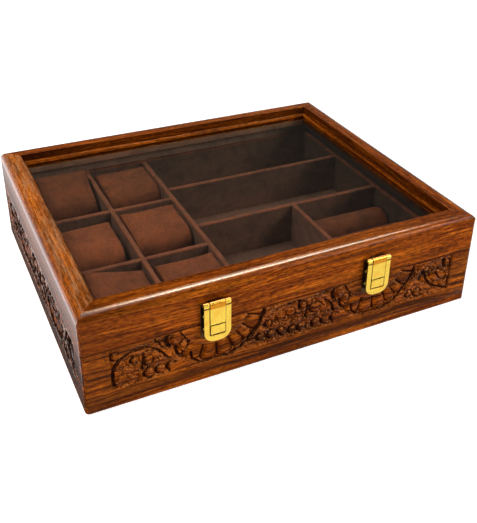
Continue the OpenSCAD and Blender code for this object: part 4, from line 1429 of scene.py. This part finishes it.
def draw_end(r):
    """What fills the panel between the last fan and its right end."""
    r.band([(29, 20), (35, 28), (41.7, 37.5), (47.5, 42.6), (56, 44.6), (63, 44.4)],
           1.5, 0.1)
    r.cut([(42.5, 33.5), (42.8, 30)], 1.3)
    r.lobe((34.8, 20.4), 3.0, 2.4, 65)
    r.lobe((42.6, 19.6), 3.2, 2.6, 60)
    r.lobe((49, 37.2), 3.4, 2.2, 50, 0.4)
    r.cut([(47.3, 35.5), (49.9, 28.8), (54.4, 23), (63.5, 18.4), (71.5, 15.2)], 1.3, 0.3)
    r.lobe((60.5, 29.6), 8.6, 5.4, -22, 0.25, 0.4)
    r.cut([(58.3, 33), (60.2, 29.5), (63.5, 25.8)], 0.7, 0.3)
    r.cut([(63.5, 43.2), (65.3, 37)], 1.7, 0.3)
    r.lobe((68.3, 39), 3.2, 2.3, 70, 0.35)
    r.cut([(71.6, 43.4), (71.4, 30), (71.6, 14)], 1.0)


def panel_depth(u, z, hubs, squeeze, field):
    """Depth of a whole panel; hubs are the middles of its fans, u from its own middle."""
    fine, wide = ground_noise(u, z)
    depth = leaves(u + 1.2 * wide, z + 1.2 * fine, not field)
    depth += (0.3 * wide + 0.2 * fine) * (1.0 if field else 0.3)
    views = [Relief(u, z, depth).moved(hub, squeeze) for hub in hubs]
    for k, view in enumerate(views):
        draw_arch(view, k == 0)
    for view in views:
        draw_fan(view)
    draw_end(views[-1])
    left = views[0]
    crest = 43.4 - 0.035 * (left.u + 52) ** 2
    left.plain((z > crest + 1.1) & (abs(left.u + 54) < 12))
    for view in views:
        view.plain(np.hypot(view.u, z - FAN_Z) < DISC_R, 0.0 if field else 0.3)
        for a in () if field else (-44, -22, 0, 22, 44):
            t = radians(a)
            view.lobe((17.5 * sin(t), FAN_Z - 17.5 * cos(t)), 6.0, 3.0, a - 90)
    depth += (0.12 * fine + 0.16 * wide) * (depth > 0.05)
    return np.clip(depth, 0, FULL_DEPTH)


def carve(obj, side, width, depth):
    """Sets the carved panel into the front face of a board."""
    size = bpy.context.scene.box_carving
    half, face_y, touch = width / 2 - size.end, -depth / 2, 0.001 * MM
    low, high = size.low, SEAM_Z - size.drop
    nx, nz = round(2 * half / size.cell), round((high - low) / size.cell)

    def in_face(item):
        return all(abs(v.co.y - face_y) < touch for v in item.verts)

    def in_panel(face):
        middle = face.calc_center_median()
        return in_face(face) and abs(middle.x) < half and low < middle.z < high

    # Opens the panel in the board's face
    with editing(obj):
        for point, way in (((-half, 0, 0), (1, 0, 0)), ((half, 0, 0), (1, 0, 0)),
                           ((0, 0, low), (0, 0, 1)), ((0, 0, high), (0, 0, 1))):
            pick(obj, "FACE", in_face)
            bpy.ops.mesh.bisect(plane_co=point, plane_no=way)
        pick(obj, "FACE", in_panel)
        bpy.ops.mesh.delete(type="FACE")
    # Carved sheet
    sheet = primitive("grid", x_subdivisions=nx, y_subdivisions=nz, size=1)
    flat = np.empty(len(sheet.data.vertices) * 3)
    sheet.data.vertices.foreach_get("co", flat)
    flat = flat.reshape(-1, 3)
    i, j = np.rint((flat[:, 0] + 0.5) * nx), np.rint((flat[:, 1] + 0.5) * nz)
    x, z = -half + 2 * half * i / nx, low + (high - low) * j / nz
    squeeze = (BOX_W / 2 - size.end) / half
    hub = LATCH_X / MM / squeeze
    sunk = panel_depth(x / MM, z / MM, [-hub, hub], squeeze, side == "front")
    sunk = np.where((i == 0) | (i == nx) | (j == 0) | (j == nz), 0.0, sunk)
    flat[:, 0], flat[:, 1], flat[:, 2] = x, face_y + sunk * MM, z
    sheet.data.vertices.foreach_set("co", flat.ravel())
    shade = sheet.data.attributes.new("cut", "FLOAT", "POINT")
    shade.data.foreach_set("value", sunk / FULL_DEPTH)
    obj.data.attributes.new("cut", "FLOAT", "POINT")
    # Same points along the opening's rim, then both made one
    bm = bmesh.new()
    bm.from_mesh(obj.data)
    for e in [e for e in bm.edges if e.is_boundary]:
        a, b = e.verts
        n = nx if abs(a.co.z - b.co.z) < touch else nz
        start, goal, v = a.co.copy(), b.co.copy(), a
        for k in range(1, n):
            e, v = bmesh.utils.edge_split(e, v, 0.5)
            v.co = start.lerp(goal, k / n)
            e = next(x for x in v.link_edges if b in x.verts)
    bm.to_mesh(obj.data)
    bm.free()
    with editing(joined(obj.name, obj, sheet)):
        bpy.ops.mesh.remove_doubles(threshold=2 * touch)
        bpy.ops.mesh.normals_make_consistent(inside=False)
    return shaded(obj, CARVED_SHADE)


# ------------------------------------------------------------------ stage

# Each lamp's place, the point it looks at, its width, its height and its power
LAMPS = {
    "ceiling_softbox": ((-0.1, -0.1, 1.2), (0, 0, 0.05), 1.0, 0.8, 6),
    "top_softbox": ((-0.42, 0.08, 0.55), (-0.1, 0, 0.03), 0.3, 0.3, 3.4),
    "key_softbox": ((1.05, -1.25, 1.0), (0, 0, 0.05), 0.8, 0.6, 25),
    "left_softbox": ((-1.6, -0.4, 0.8), (0, 0, 0.05), 1.3, 0.9, 8),
    "gloss_softbox": ((0.42, 0.2, 1.25), (0, 0, 0.05), 0.7, 0.7, 150)}


class OrganizerStage(bpy.types.Operator):
    """Plain floor, soft studio lights and the camera"""

    bl_idname = "organizer.stage"
    bl_label = "Stage"

    def execute(self, context):
        scene = context.scene
        floor = primitive("circle", vertices=96, radius=9, fill_type="NGON")
        floor.name = "plain_floor"
        floor.data.materials.append(plain_floor())
        for name, (at, aim, width, height, power) in LAMPS.items():
            light = bpy.data.lights.new(name, "AREA")
            light.shape, light.energy = "RECTANGLE", power
            light.size, light.size_y = width, height
            lamp = linked(bpy.data.objects.new(name, light))
            lamp.location = at
            way = Vector(aim) - Vector(at)
            lamp.rotation_euler = way.to_track_quat("-Z", "Y").to_euler()
        # The last one is there for the gloss only
        lamp.visible_diffuse = False
        light.color = (1.0, 0.85, 0.66)
        self.sky(scene)
        self.camera(scene)
        scene.view_settings.view_transform = "Standard"
        scene.view_settings.look = "None"
        return {"FINISHED"}

    def sky(self, scene):
        """A white horizon under a dark sky, which the camera sees as plain white."""
        scene.world = bpy.data.worlds.new("studio")
        scene.world.use_nodes = True
        n = Nodes(scene.world.node_tree)
        up = n.part("Z", n.here("Generated"))
        color = n.blend(n.ramp(up, 0.12, 0.34), WHITE, (0.046, 0.05, 0.046))
        seen = n.put("LightPath").outputs["Is Camera Ray"]
        n.feed(n.tree.nodes["Background"].inputs["Color"], n.blend(seen, color, WHITE))

    def camera(self, scene):
        """The camera at the box's front left, looking down on it."""
        look = scene.box_stage
        data = bpy.data.cameras.new("camera")
        data.sensor_width = 36
        data.lens = look.lens * data.sensor_width
        data.shift_x, data.shift_y = look.shift
        data.clip_start, data.clip_end = 0.02, 60
        scene.camera = linked(bpy.data.objects.new("camera", data))
        turn = Euler((radians(90) - look.elevation, 0, -look.azimuth)).to_matrix()
        scene.camera.matrix_world = (turn @ Matrix.Rotation(look.roll, 3, "Z")).to_4x4()
        scene.camera.location = look.spot


# ------------------------------------------------------------------ panel and run


class OrganizerPanel(bpy.types.Panel):
    """Lists the pieces of the organizer"""

    bl_idname = "VIEW3D_PT_organizer"
    bl_label = "Organizer box"
    bl_space_type = "VIEW_3D"
    bl_region_type = "UI"
    bl_category = "Organizer"

    def draw(self, context):
        for kind in MAKERS:
            self.layout.operator(kind.bl_idname)


MAKERS = (OrganizerStage, OrganizerBottom, OrganizerBoards, OrganizerLid, OrganizerBeads,
          OrganizerGlass, OrganizerTray, OrganizerDividers, OrganizerPillows,
          OrganizerRolls, OrganizerLatches, OrganizerHinges)
SETTINGS = {"box_wood": WoodSettings, "box_carving": CarvingSettings,
            "box_suede": SuedeSettings, "box_brass": BrassSettings,
            "box_stage": StageSettings}


def register():
    for kind in (*SETTINGS.values(), *MAKERS, OrganizerPanel):
        bpy.utils.register_class(kind)
    for name, kind in SETTINGS.items():
        setattr(bpy.types.Scene, name, bpy.props.PointerProperty(type=kind))


def unregister():
    for name in SETTINGS:
        delattr(bpy.types.Scene, name)
    for kind in reversed((*SETTINGS.values(), *MAKERS, OrganizerPanel)):
        bpy.utils.unregister_class(kind)


def main():
    register()
    for kind in MAKERS:
        group_name, name = kind.bl_idname.split(".")
        getattr(getattr(bpy.ops, group_name), name)()


if __name__ == "__main__":
    main()
